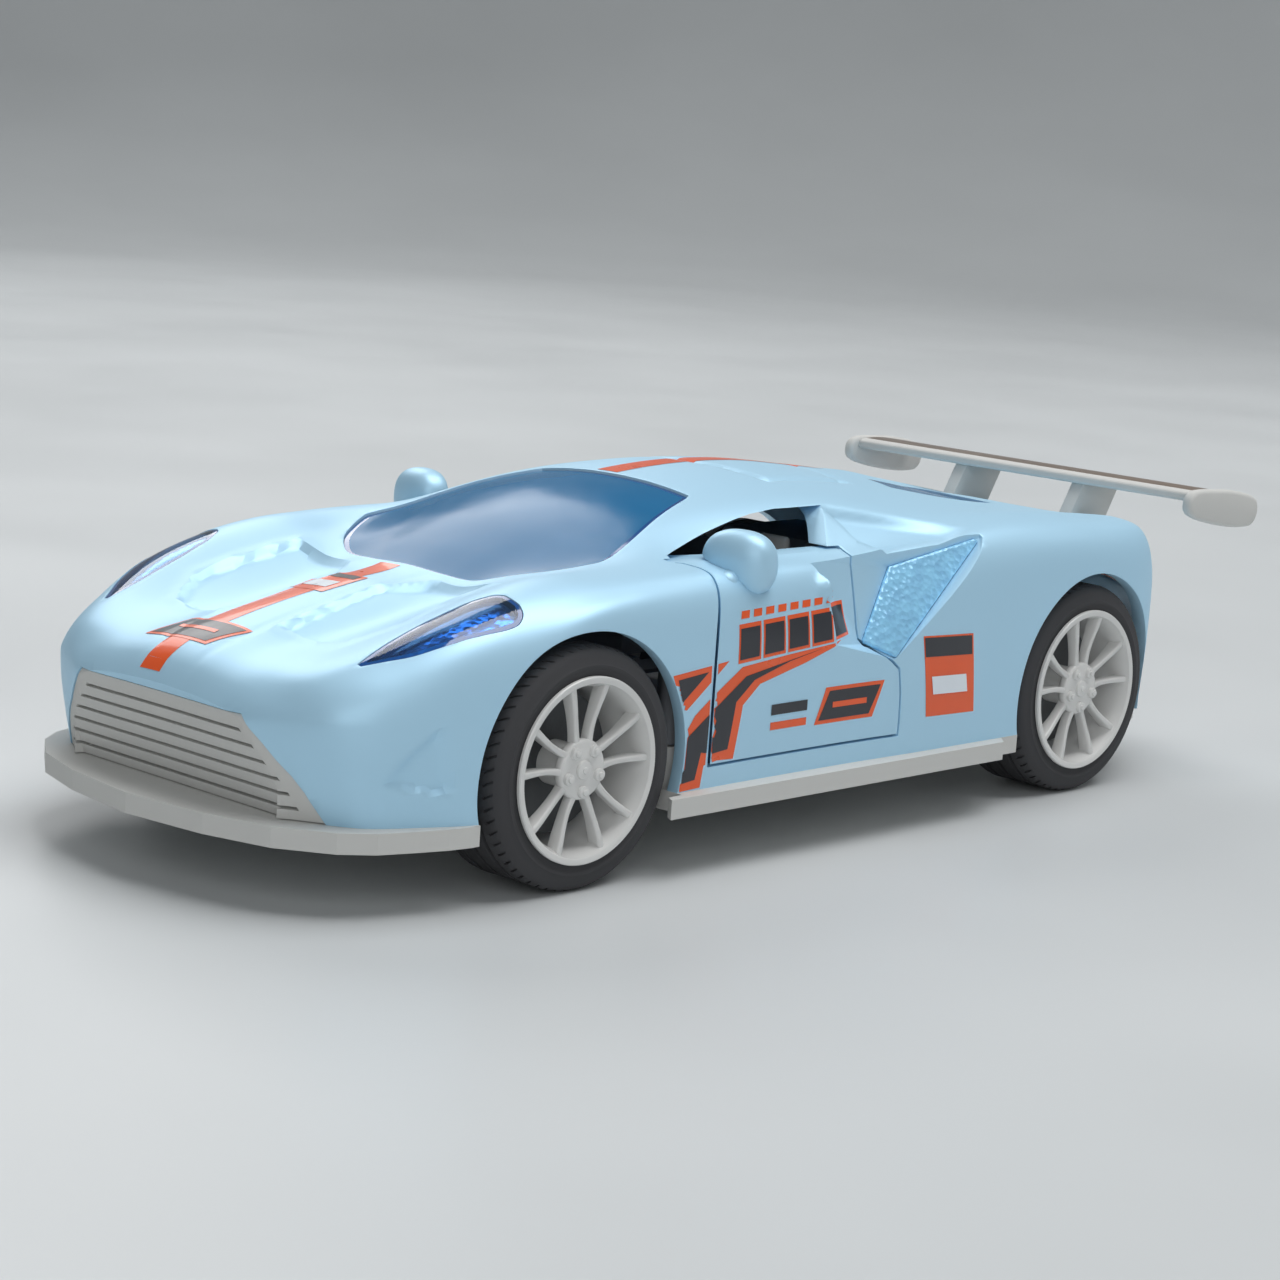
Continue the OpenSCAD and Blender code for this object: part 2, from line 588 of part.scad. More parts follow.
module steering_wheel() {
  color([0.1, 0.1, 0.11])
    translate([mx(seat_x), my(-20.3), mz(23.2)])
      rotate([-68, 0, 0]) {
        cylinder(r = 0.7, h = 3.4, $fn = 32);
        translate([0, 0, 3]) rotate_extrude($fn = 48) translate([3.6, 0]) circle(r = 0.55, $fn = 16);
        translate([-3.6, -0.5, 2.7]) cube([7.2, 1, 0.5]);
        translate([-0.5, -3.6, 2.7]) cube([1, 3.6, 0.5]);
      }
}

// Motor: barrel gear drives the idler pinion, the idler wheel drives the axle pinion
gear_slack = 0.06;
first_rise = 24;
second_rise = 12;
first_gap = gear_module * (pinion_teeth + idler_teeth) / 2 + gear_slack;
second_gap = gear_module * (pinion_teeth + barrel_teeth) / 2 + gear_slack;
idler_y = rear_y - first_gap * cos(first_rise);
idler_z = wheel_z + first_gap * sin(first_rise);
barrel_y = idler_y - second_gap * cos(second_rise);
barrel_z = idler_z + second_gap * sin(second_rise);
axle_plane = -3.6;
barrel_plane = 0;
pin_r = 0.8;
drum_x0 = barrel_plane + gear_w / 2;
drum_w = 4;
drum_r = gear_module * barrel_teeth / 2 - 1.4;
case_x0 = axle_plane - gear_w / 2 - 1.8;
case_x1 = drum_x0 + drum_w + 1.6;
case_split = barrel_plane - gear_w / 2 - 0.5;
case_wall = 1.2;

// Toothed outline with a tooth centred on angle first
function gear_outline(teeth, first) =
  let (pitch = 360 / teeth, root = gear_module * (teeth / 2 - 1.2), tip = gear_module * (teeth / 2 + 0.9))
  [for (i = [0:teeth - 1])
    for (p = [[root, -0.3], [gear_module * teeth / 2, -0.215], [tip, -0.1], [tip, 0.1],
      [gear_module * teeth / 2, 0.215], [root, 0.3]])
      p[0] * [cos(first + (i + p[1]) * pitch), sin(first + (i + p[1]) * pitch)]];
// Gear about the X axis at [y, z]; angles run from +Y toward +Z
module gear(teeth, first, y, z, x) {
  translate([x - gear_w / 2, y, z])
    rotate([90, 0, 90]) linear_extrude(height = gear_w) polygon(gear_outline(teeth, first));
}
module rod_x(x0, x1, y, z, r) {
  translate([x0, y, z]) rotate([0, 90, 0]) cylinder(r = r, h = x1 - x0, $fn = 48);
}
module rear_pinion() {
  color([0.85, 0.83, 0.75])
    difference() {
      gear(pinion_teeth, 180 - first_rise, rear_y, wheel_z, axle_plane);
      rod_x(-20, 20, rear_y, wheel_z, axle_d / 2);
    }
}
module idler_gear() {
  color([0.9, 0.88, 0.8])
    difference() {
      union() {
        gear(idler_teeth, -first_rise + 180 / idler_teeth, idler_y, idler_z, axle_plane);
        gear(pinion_teeth, 180 - second_rise, idler_y, idler_z, barrel_plane);
        rod_x(axle_plane, barrel_plane, idler_y, idler_z, gear_module * (pinion_teeth / 2 - 1.4));
      }
      rod_x(-20, 20, idler_y, idler_z, pin_r + run_gap);
    }
}
module barrel_gear() {
  color([0.88, 0.87, 0.82])
    difference() {
      union() {
        gear(barrel_teeth, -second_rise + 180 / barrel_teeth, barrel_y, barrel_z, barrel_plane);
        rod_x(drum_x0, drum_x0 + drum_w, barrel_y, barrel_z, drum_r);
      }
      rod_x(drum_x0, drum_x0 + drum_w + 1, barrel_y, barrel_z, drum_r - 0.8);
      rod_x(-20, 20, barrel_y, barrel_z, pin_r + run_gap);
    }
}
spring_r0 = pin_r + 0.3;
spring_r1 = drum_r - 0.8 - spring_strip;
spring_steps = 16 * spring_turns;
function spiral(t, shift) =
  let (a = 360 * spring_turns * t, r = spring_r0 + (spring_r1 - spring_r0) * t + shift) [r * cos(a), r * sin(a)];
module mainspring() {
  color([0.45, 0.45, 0.48])
    translate([drum_x0 + 0.3, barrel_y, barrel_z])
      rotate([90, 0, 90])
        linear_extrude(height = drum_w - 0.6)
          polygon(concat(
            [for (i = [0:spring_steps]) spiral(i / spring_steps, 0)],
            [for (i = [spring_steps:-1:0]) spiral(i / spring_steps, spring_strip)]));
}
module idler_pin() {
  color([0.6, 0.6, 0.62]) rod_x(case_x0, case_x1, idler_y, idler_z, pin_r);
}
module barrel_pin() {
  color([0.6, 0.6, 0.62]) rod_x(case_x0, case_x1, barrel_y, barrel_z, pin_r);
}
barrel_tip = gear_module * (barrel_teeth / 2 + 0.9);
module case_outline(inset) {
  back = barrel_y - barrel_tip - 0.5 - case_wall + inset;
  front = rear_y + gear_module * (pinion_teeth / 2 + 0.9) + 0.6 + case_wall - inset;
  top = barrel_z + barrel_tip + 0.5 + case_wall - inset;
  foot = inset > 0 ? floor_z - 1 : floor_z;
  polygon([[back, foot], [back, top - 3], [back + 3, top], [barrel_y + 6 - inset / 2, top],
    [front, wheel_z + 5.5 - inset], [front, foot]]);
}
module motor_case(x0, x1, wall_x) {
  difference() {
    translate([x0, 0, 0]) rotate([90, 0, 90]) linear_extrude(height = x1 - x0) case_outline(0);
    translate([wall_x, 0, 0]) rotate([90, 0, 90])
      linear_extrude(height = x1 - x0) case_outline(case_wall);
    rod_x(-20, 20, rear_y, wheel_z, axle_d / 2 + run_gap);
    rod_x(-20, 20, idler_y, idler_z, pin_r);
    rod_x(-20, 20, barrel_y, barrel_z, pin_r);
  }
}
module motor_case_left() {
  color([0.24, 0.25, 0.27]) motor_case(case_split, case_x1, case_split - case_wall);
}
module motor_case_right() {
  color([0.28, 0.29, 0.31]) motor_case(case_x0, case_split, case_x0 + case_wall);
}

// Doors
// Land and intake wall stop this far inside the door edge
edge_step = 0.04;
module door_left() {
  color(paint) {
    intersection() {
      difference() {
        skin(0, wall);
        scoop(0);
      }
      door_column(0);
    }
    intersection() {
      body_form(0.4, floor_z);
      door_column(-edge_step);
      union() {
        arm_pad();
        intersection() {
          scoop(wall);
          difference() {
            side_column([[17.6, -8, 2], [29.4, -8, 2]], mx(18), side_clear);
            scoop(0);
          }
        }
      }
    }
  }
}
module door_right() {
  mirror([1, 0, 0]) door_left();
}
// Flat land inside the door that the arm is fixed to
pad_x = hinge_x + 1.9;
pad_y0 = hinge_y + 5.2;
module arm_pad() {
  translate([pad_x, pad_y0, arm_z0]) cube([4, 5, arm_h]);
}
// Bent arm from the hinge knuckle round the door post to the door
module door_arm() {
  difference() {
    union() {
      translate([hinge_x, hinge_y, arm_z0]) cylinder(r = knuckle_r, h = arm_h, $fn = 32);
      translate([hinge_x, hinge_y, arm_z0])
        linear_extrude(height = arm_h)
          polygon([[-0.9, -0.6], [0.3, 0.6], [-1.9, 1.6], [-2.15, 3.8], [-1, 5.3], [1.9, 5.8], [1.9, 9.8], [0.8, 9.8],
            [0.8, 6.8], [-1.8, 6.4], [-3.3, 4.4], [-3.2, 1.2]]);
    }
    translate([hinge_x, hinge_y, 0]) cylinder(r = hinge_pin_d / 2 + run_gap, h = 60, $fn = 32);
  }
}
module door_arm_left() {
  color([0.3, 0.31, 0.33]) door_arm();
}
module door_arm_right() {
  color([0.3, 0.31, 0.33]) mirror([1, 0, 0]) door_arm();
}
module door_pin_left() {
  color([0.6, 0.6, 0.62])
    translate([hinge_x, hinge_y, ride_height + 0.8])
      cylinder(r = hinge_pin_d / 2, h = arm_z0 + arm_h + 1 - ride_height - 0.8, $fn = 32);
}
module door_pin_right() {
  mirror([1, 0, 0]) door_pin_left();
}
module mirror_left() {
  color(paint)
    difference() {
      union() {
        translate([mx(23.8), my(-16), mz(29.8)]) rotate([0, 0, 14]) scale([1, 0.62, 0.86]) sphere(r = 4, $fn = 32);
        hull() {
          translate([mx(23.8), my(-16.2), mz(28.8)]) sphere(r = 1.6, $fn = 16);
          translate([mx(24.4), my(-18.6), mz(28.2)]) sphere(r = 1.3, $fn = 16);
        }
      }
      body_form(-0.02, floor_z);
      // Keeps the foot on the outside of the door only
      translate([mx(14), my(-24), mz(20)]) cube([mx(21) - mx(14), 17, 9]);
    }
}
module mirror_right() {
  mirror([1, 0, 0]) mirror_left();
}

// Wheels, drawn for the left side about the X axis at the origin
rim_r = rim_d / 2;
tyre_r = tyre_d / 2;
tyre_x1 = wheel_face - 0.4;
tyre_x0 = tyre_x1 - tyre_w;
hub_r = 2.2;
module place_wheel(y, side) {
  translate([0, y, wheel_z]) mirror([side < 0 ? 1 : 0, 0, 0]) rotate([0, 90, 0]) children();
}
module rim() {
  difference() {
    union() {
      rotate_extrude($fn = 96)
        polygon([[rim_r - 1, tyre_x0], [rim_r, tyre_x0], [rim_r, tyre_x1], [rim_r + 0.2, tyre_x1],
          [rim_r + 0.2, wheel_face], [rim_r - 0.6, wheel_face], [rim_r - 0.9, wheel_face - 0.6], [rim_r - 1, wheel_face - 1.6]]);
      translate([0, 0, tyre_x0 + 2.6]) cylinder(r = hub_r, h = wheel_face - 0.6 - tyre_x0 - 2.6, $fn = 48);
      translate([0, 0, wheel_face - 1.6]) cylinder(r = hub_r + 0.9, h = 0.9, $fn = 48);
      for (i = [0:spoke_pairs - 1])
        for (s = [-1, 1])
          rotate([0, 0, i * 360 / spoke_pairs])
            translate([0, 0, wheel_face - 1.9])
              linear_extrude(height = 1.3)
                polygon([[1.5, s * 0.3], [1.5, s * 1.3], [rim_r - 0.8, s * 2.5], [rim_r - 0.8, s * 1.4]]);
    }
    translate([0, 0, tyre_x0]) cylinder(r = axle_d / 2, h = wheel_face - 2 - tyre_x0, $fn = 48);
  }
}
module tyre() {
  rotate_extrude($fn = 96)
    polygon([[rim_r, tyre_x0], [tyre_r - 0.9, tyre_x0], [tyre_r - 0.3, tyre_x0 + 0.3], [tyre_r, tyre_x0 + 1],
      [tyre_r, tyre_x1 - 1], [tyre_r - 0.3, tyre_x1 - 0.3], [tyre_r - 0.9, tyre_x1], [rim_r, tyre_x1]]);
}
disc_t = 0.8;
module disc() {
  translate([0, 0, tyre_x0 + 4.2])
    difference() {
      cylinder(r = rim_r - 2, h = disc_t, $fn = 64);
      translate([0, 0, -1]) cylinder(r = hub_r, h = 4, $fn = 48);
    }
}
module front_rim_left() { color(silver) place_wheel(front_y, 1) rim(); }
module front_rim_right() { color(silver) place_wheel(front_y, -1) rim(); }
module rear_rim_left() { color(silver) place_wheel(rear_y, 1) rim(); }
module rear_rim_right() { color(silver) place_wheel(rear_y, -1) rim(); }
module front_tyre_left() { color([0.09, 0.09, 0.1]) place_wheel(front_y, 1) tyre(); }
module front_tyre_right() { color([0.09, 0.09, 0.1]) place_wheel(front_y, -1) tyre(); }
module rear_tyre_left() { color([0.09, 0.09, 0.1]) place_wheel(rear_y, 1) tyre(); }
module rear_tyre_right() { color([0.09, 0.09, 0.1]) place_wheel(rear_y, -1) tyre(); }
module front_disc_left() { color([0.5, 0.5, 0.5]) place_wheel(front_y, 1) disc(); }
module front_disc_right() { color([0.5, 0.5, 0.5]) place_wheel(front_y, -1) disc(); }
module rear_disc_left() { color([0.5, 0.5, 0.5]) place_wheel(rear_y, 1) disc(); }
module rear_disc_right() { color([0.5, 0.5, 0.5]) place_wheel(rear_y, -1) disc(); }
axle_end = wheel_face - 2;
module front_axle() {
  color([0.6, 0.6, 0.62]) rod_x(-axle_end, axle_end, front_y, wheel_z, axle_d / 2);
}
module rear_axle() {
  color([0.6, 0.6, 0.62]) rod_x(-axle_end, axle_end, rear_y, wheel_z, axle_d / 2);
}

body_shell();
windscreen();
rear_window();
headlight_lens_left();
headlight_lens_right();
headlight_reflector_left();
headlight_reflector_right();
front_grille();
side_intake_left();
side_intake_right();
tail_lamps();
rear_diffuser();
rear_wing();
chassis();
chassis_screws();
interior_tub();
seat_left();
seat_right();
dashboard();
steering_wheel();
motor_case_left();
motor_case_right();
idler_pin();
barrel_pin();
idler_gear();
barrel_gear();
mainspring();
door_left();
door_right();
mirror_left();
mirror_right();
door_arm_left();
door_arm_right();
door_pin_left();
door_pin_right();
front_axle();
front_rim_left();
front_rim_right();
front_tyre_left();
front_tyre_right();
front_disc_left();
front_disc_right();
rear_axle();
rear_pinion();
rear_rim_left();
rear_rim_right();
rear_tyre_left();
rear_tyre_right();
rear_disc_left();
rear_disc_right();
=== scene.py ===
import math

import bmesh
import bpy
import numpy as np
from bpy.props import FloatProperty, FloatVectorProperty, IntProperty, PointerProperty
from mathutils import Matrix, Vector
from mathutils.bvhtree import BVHTree


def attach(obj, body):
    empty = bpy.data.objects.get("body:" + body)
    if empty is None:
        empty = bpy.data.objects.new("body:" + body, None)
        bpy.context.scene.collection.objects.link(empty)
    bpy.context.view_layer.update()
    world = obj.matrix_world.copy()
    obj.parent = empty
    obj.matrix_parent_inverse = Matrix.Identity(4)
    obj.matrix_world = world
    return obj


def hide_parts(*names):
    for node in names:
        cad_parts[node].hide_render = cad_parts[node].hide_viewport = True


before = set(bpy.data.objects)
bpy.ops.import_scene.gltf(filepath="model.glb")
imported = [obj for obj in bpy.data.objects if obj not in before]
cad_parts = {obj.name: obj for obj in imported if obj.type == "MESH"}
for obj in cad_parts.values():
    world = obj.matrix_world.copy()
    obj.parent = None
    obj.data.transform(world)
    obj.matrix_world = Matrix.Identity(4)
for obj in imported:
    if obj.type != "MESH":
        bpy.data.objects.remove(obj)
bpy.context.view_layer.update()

bl_info = {
    "name": "Pull-back race car",
    "version": (1, 0, 0),
    "blender": (4, 5, 0),
    "location": "View3D > Sidebar > Race car",
    "description": "Builds the visible pieces of a die-cast pull-back race car round its CAD frame",
    "category": "Object",
}

# Shapes are drawn in millimetres about the middle of the wheelbase, then placed in the frame in metres
CENTRE_Y = -1.0
FRONT_Y = -40.5
REAR_Y = 40.5
WHEEL_Z = 12.0
ARCH_R = 13.5
SIDES = (("left", 1), ("right", -1))

# Body net: y, then nine [x, z] points from the crown down to the sill
STATIONS = [
  [-70.6, [[0, 18.5], [3.5, 18.4], [7, 18.2], [10, 17.8], [12.5, 17], [13.6, 15.4], [14.8, 13], [16, 10.2], [16.8, 8.2]]],
  [-69, [[0, 20.6], [4, 20.5], [8, 20.1], [11.5, 19.6], [15, 18.4], [16.8, 16.5], [17.8, 14], [18.6, 11], [19, 8.2]]],
  [-66, [[0, 22.3], [4, 22.1], [8, 21.6], [12.5, 21.4], [17.5, 21], [20.6, 19], [21.8, 16], [22.2, 12], [22.4, 8.2]]],
  [-60, [[0, 24], [4, 23.7], [8, 22.8], [13, 23], [19.5, 23.7], [23.6, 21.8], [25, 18], [25.2, 13], [24.9, 8.2]]],
  [-54, [[0, 25.3], [4.2, 24.9], [8.5, 23.9], [14, 24.9], [20.5, 26.2], [25, 24.6], [26.9, 20], [27.2, 14], [26.8, 8.2]]],
  [-47, [[0, 26.5], [4.5, 26.1], [9, 25.3], [14.5, 26.8], [20.5, 28.4], [25.2, 26.9], [27.7, 23], [28, 16], [27.6, 8.2]]],
  [-40.5, [[0, 27.4], [5, 27.2], [10, 27], [15, 28.2], [20.5, 29.5], [25.3, 28.2], [27.9, 25.6], [28.2, 18], [27.8, 8.2]]],
  [-34, [[0, 29.8], [5, 29.6], [10, 29.1], [15.5, 28.9], [20.5, 29.7], [25.2, 28.8], [27.8, 26], [28.2, 18], [27.9, 8.2]]],
  [-27, [[0, 32.2], [5, 32], [10, 31.4], [16, 30.4], [20.8, 30], [25.2, 28.9], [27.6, 25.5], [28.1, 17], [27.9, 8.2]]],
  [-18, [[0, 34.3], [5, 34.2], [10, 33.7], [15.3, 32.6], [21.3, 30.1], [25.3, 28.8], [27.3, 25], [27.9, 17], [27.8, 8.2]]],
  [-9, [[0, 35.6], [5.5, 35.4], [11, 34.7], [16, 33.5], [21.8, 30.1], [25.4, 28.5], [27.1, 24.5], [27.8, 17], [27.8, 8.2]]],
  [0, [[0, 36.2], [5.5, 36], [11, 35.2], [16.2, 33.8], [21.8, 30.2], [25.2, 28.4], [27, 24.4], [27.9, 17], [27.9, 8.2]]],
  [9, [[0, 36.1], [5.5, 35.8], [11, 34.9], [16.2, 33.6], [21.5, 30.8], [25.6, 29.2], [27.8, 25], [28.4, 17], [28.2, 8.2]]],
  [18, [[0, 35.2], [5.5, 34.9], [11, 34.1], [16.3, 32.8], [21.5, 31.4], [26, 30.2], [28.3, 26], [28.6, 18], [28.3, 8.2]]],
  [27, [[0, 34.1], [5.5, 33.8], [11, 33], [16.3, 32.2], [21.5, 31.9], [26, 30.6], [28.5, 26.5], [28.7, 18], [28.4, 8.2]]],
  [36, [[0, 32.6], [5.5, 32.3], [11, 31.8], [16.3, 31.6], [21.5, 31.7], [26, 30.4], [28.4, 26.8], [28.6, 18], [28.3, 8.2]]],
  [45, [[0, 30.9], [5.5, 30.8], [11, 30.7], [16.3, 30.8], [21.5, 31], [25.8, 29.8], [28.1, 26], [28.3, 17], [28, 8.6]]],
  [53, [[0, 29.8], [5.5, 29.7], [11, 29.7], [16, 29.9], [21, 30.3], [25, 29.2], [27, 25], [27.2, 17], [26.8, 9.5]]],
  [57, [[0, 29.1], [5, 29.1], [10, 29.1], [14.8, 29.2], [19.6, 29.5], [22.8, 28.4], [24.2, 24.5], [24.4, 17], [24, 10]]],
  [60, [[0, 28.6], [4.6, 28.6], [9, 28.6], [13.4, 28.7], [17.6, 28.9], [20.2, 27.8], [21.3, 24], [21.5, 17], [21.2, 10]]],
  [64, [[0, 28], [3.6, 28], [7.2, 28], [10.6, 28], [13.6, 28], [15.4, 27], [16.2, 24], [16.4, 17], [16, 10]]],
  [68, [[0, 27.2], [2, 27.2], [4, 27.2], [6, 27.1], [7.8, 27], [9, 26], [9.4, 23], [9.5, 17], [9.2, 10.4]]]
]
NET_Y = np.array([row[0] for row in STATIONS], float)
NET = np.array([row[1] for row in STATIONS], float)
NOSE_RAKE, RAKE_TOP, RAKE_END = 0.34, 18.0, -54.0
SILL_Z = 8.2

SCREEN = [(-39.6, 5), (-39.2, 9), (-38.1, 11.2), (-36.2, 13.3), (-33.5, 15.3), (-31, 16.7), (-29, 17.2), (-24, 15.7),
          (-18, 13.7), (-12, 11.7), (-10.3, 10.9)]
BACK = [(26, 9), (28, 9.6), (30, 10.1), (32, 10.5), (34, 10.8), (36, 11), (38, 11), (40, 10.9), (42, 10.5), (44, 9.8)]
LAMP = [(-62.2, 19, 19.4), (-60.5, 18.8, 20.7), (-58.5, 18.7, 22.2), (-56, 18.8, 23.4), (-53.5, 19, 24.3), (-51, 19.4, 25),
        (-49.4, 19.7, 25.3), (-48.2, 20.2, 25.3), (-47.2, 20.8, 24.7), (-46.7, 21.6, 23.6)]
DOOR = [(10.6, -23.3, 6.2), (12, -23.3, 6.2), (15, -23.4, 6), (17.6, -23.4, 5.6), (18.4, -23.5, 4.6), (19.6, -23.5, 2.8),
        (20.8, -23.5, 1.2), (22, -23.5, 1.1), (25, -23.5, 1.3), (27.4, -23.4, 1.4), (29.9, -23.4, 1.4)]
WINDOW = [(29.9, -23.2, -0.4), (30.4, -22.6, 0.2), (30.9, -20, 0.9), (31.4, -17.6, 1.6), (31.9, -15.2, 2.3), (32.4, -12.6, 3),
          (32.9, -9.8, 3.7), (33.3, -7, 4.3), (33.6, -3, 4.7)]
GRILLE = [(8.2, 19.4), (9.6, 18.7), (11, 18), (12.4, 17), (13.8, 15.6), (15.2, 14.4), (16.4, 13.2), (17.6, 12.2)]
CREST, FOOT, INNER, LOW = (25.5, 21.3, 30.4), (27.9, 5, 18.8), (23.6, 8.3, 27.7), (26, 1.8, 20.3)
SCOOP = [CREST, FOOT, INNER, LOW, (24.2, -5.5, 29.4), (27.4, -4, 21), (24.2, 7.5, 31.5), (25.6, 21.3, 33), (24.2, -5.5, 31.5),
         (41, -5.5, 33), (41, 21.3, 33), (41, -4, 21), (41, 5, 18.8)]
HINGE = (24.5, -25.5)
POST_R, DOOR_R = 3.98, 4.25


# ---- settings -------------------------------------------------------------

class CarBodySettings(bpy.types.PropertyGroup):
    paint: FloatVectorProperty(name="Paint", description="Colour of the enamel", subtype="COLOR", size=3,
                               default=(0.09, 0.42, 0.86), min=0, max=1)
    wall: FloatProperty(name="Wall", description="Wall of the shell, in millimetres", default=1.4, min=1, max=2)
    row_step: FloatProperty(name="Row step", description="Spacing of the surface rows, in millimetres", default=0.7, min=0.4, max=3)
    columns: IntProperty(name="Columns", description="Surface columns between two net points", default=10, min=4, max=16)
    door_gap: FloatProperty(name="Shut line", description="Gap round each door, in millimetres", default=0.3, min=0.1, max=0.6)
    edge_round: FloatProperty(name="Edge round", description="Rounding of cast edges, in millimetres", default=0.14, min=0, max=0.3)


class CarTrimSettings(bpy.types.PropertyGroup):
    glass: FloatVectorProperty(name="Glass", description="Tint of the windows", subtype="COLOR", size=3,
                               default=(0.02, 0.21, 0.46), min=0, max=1)
    lamp: FloatVectorProperty(name="Lamp", description="Tint of the headlight lenses", subtype="COLOR", size=3,
                              default=(0.16, 0.42, 0.85), min=0, max=1)
    grey: FloatVectorProperty(name="Grey trim", description="Colour of the grey mouldings", subtype="COLOR", size=3,
                              default=(0.19, 0.20, 0.19), min=0, max=1)
    silver: FloatVectorProperty(name="Rims", description="Colour of the rims", subtype="COLOR", size=3,
                                default=(0.68, 0.675, 0.65), min=0, max=1)
    rubber: FloatVectorProperty(name="Tyres", description="Colour of the tyres", subtype="COLOR", size=3,
                                default=(0.002, 0.005, 0.008), min=0, max=1)
    orange: FloatVectorProperty(name="Orange print", description="Colour of the orange graphics", subtype="COLOR", size=3,
                                default=(0.86, 0.105, 0.015), min=0, max=1)
    dark: FloatVectorProperty(name="Dark print", description="Colour of the dark graphics", subtype="COLOR", size=3,
                              default=(0.022, 0.024, 0.032), min=0, max=1)
    print_lift: FloatProperty(name="Print lift", description="Height of a printed layer, in millimetres", default=0.03,
                              min=0.01, max=0.1)


class CarWheelSettings(bpy.types.PropertyGroup):
    spokes: IntProperty(name="Twin spokes", description="Twin spokes on each rim", default=5, min=4, max=6)
    steps: IntProperty(name="Steps", description="Steps round the wheel", default=120, min=48, max=200)
    grooves: IntProperty(name="Tread blocks", description="Tread blocks round the tyre shoulder", default=60, min=20, max=90)


class CarStageSettings(bpy.types.PropertyGroup):
    lens: FloatProperty(name="Lens", description="Focal length, in millimetres", default=85.4, min=20, max=200)
    key: FloatProperty(name="Key light", description="Strength of the overhead light", default=7.6, min=0, max=100)
    world: FloatProperty(name="Surround", description="Strength of the surrounding light", default=0.17, min=0, max=5)
    floor: FloatVectorProperty(name="Floor", description="Colour of the floor", subtype="COLOR", size=3,
                               default=(0.62, 0.645, 0.655), min=0, max=1)


# ---- surface --------------------------------------------------------------

def net_slopes():
    rows = []
    for i in range(len(NET_Y)):
        a, b = max(i - 1, 0), min(i + 1, len(NET_Y) - 1)
        rows.append((NET[b] - NET[a]) / (NET_Y[b] - NET_Y[a]))
    return rows


SLOPES = net_slopes()


def net_at(y):
    """The nine net points at one place along the car."""
    i = int(np.clip(np.searchsorted(NET_Y, y, side="right") - 1, 0, len(NET_Y) - 2))
    h = NET_Y[i + 1] - NET_Y[i]
    t = (y - NET_Y[i]) / h
    return (NET[i] * (1 - 3 * t**2 + 2 * t**3) + NET[i + 1] * (3 * t**2 - 2 * t**3)
            + SLOPES[i] * h * (t - 2 * t**2 + t**3) + SLOPES[i + 1] * h * (t**3 - t**2))


def half_curve(net, columns):
    """Smooth half section through the net points, crown to sill."""
    p = np.vstack([[-net[1][0], net[1][1]], net, 2 * net[8] - net[7]])
    out = []
    for j in range(8):
        a, b, c, d = p[j], p[j + 1], p[j + 2], p[j + 3]
        for k in range(columns):
            t = k / columns
            out.append(b + 0.5 * t * (c - a + t * (2 * a - 5 * b + 4 * c - d + t * (3 * (b - c) + d - a))))
    return np.array(out + [net[8]])


def inward(half, depth):
    before = np.vstack([[-half[1][0], half[1][1]], half[:-1]])
    after = np.vstack([half[1:], half[-1] + (0, -1)])
    t = after - before
    t /= np.linalg.norm(t, axis=1)[:, None]
    depth = np.broadcast_to(np.asarray(depth, float), (len(half),))
    return np.column_stack([np.maximum(half[:, 0] + t[:, 1] * depth, 0), half[:, 1] - t[:, 0] * depth])


def raked(y, z):
    if y >= RAKE_END or z >= RAKE_TOP:
        return 0.0
    return NOSE_RAKE * (RAKE_TOP - z) * (RAKE_END - y) / (RAKE_END - NET_Y[0])


def smooth(t):
    t = min(1.0, max(0.0, t))
    return t * t * (3 - 2 * t)


def turning(poly):
    """Twice the signed area of an outline."""
    n = len(poly)
    return sum(poly[i][0] * poly[(i + 1) % n][1] - poly[(i + 1) % n][0] * poly[i][1] for i in range(n))


def inside(poly, u, v):
    """Distance inside a convex outline, negative outside."""
    best = 1e9
    area = turning(poly)
    for i, (ax, ay) in enumerate(poly):
        bx, by = poly[(i + 1) % len(poly)]
        n = math.hypot(bx - ax, by - ay)
        best = min(best, math.copysign(1, area) * ((bx - ax) * (v - ay) - (by - ay) * (u - ax)) / n)
    return best


POCKET = [(4.6, -59.6), (3.4, -46), (6.5, -41.6), (14.6, -41.2), (15.4, -54), (12.6, -58.6)]
CORNER = [(-64.6, 12.0), (-57.2, 18.6), (-56.4, 10.8)]
SAIL = [(4.6, 33.6), (5.2, 30.4), (8.8, 28.6), (21.4, 31.2)]


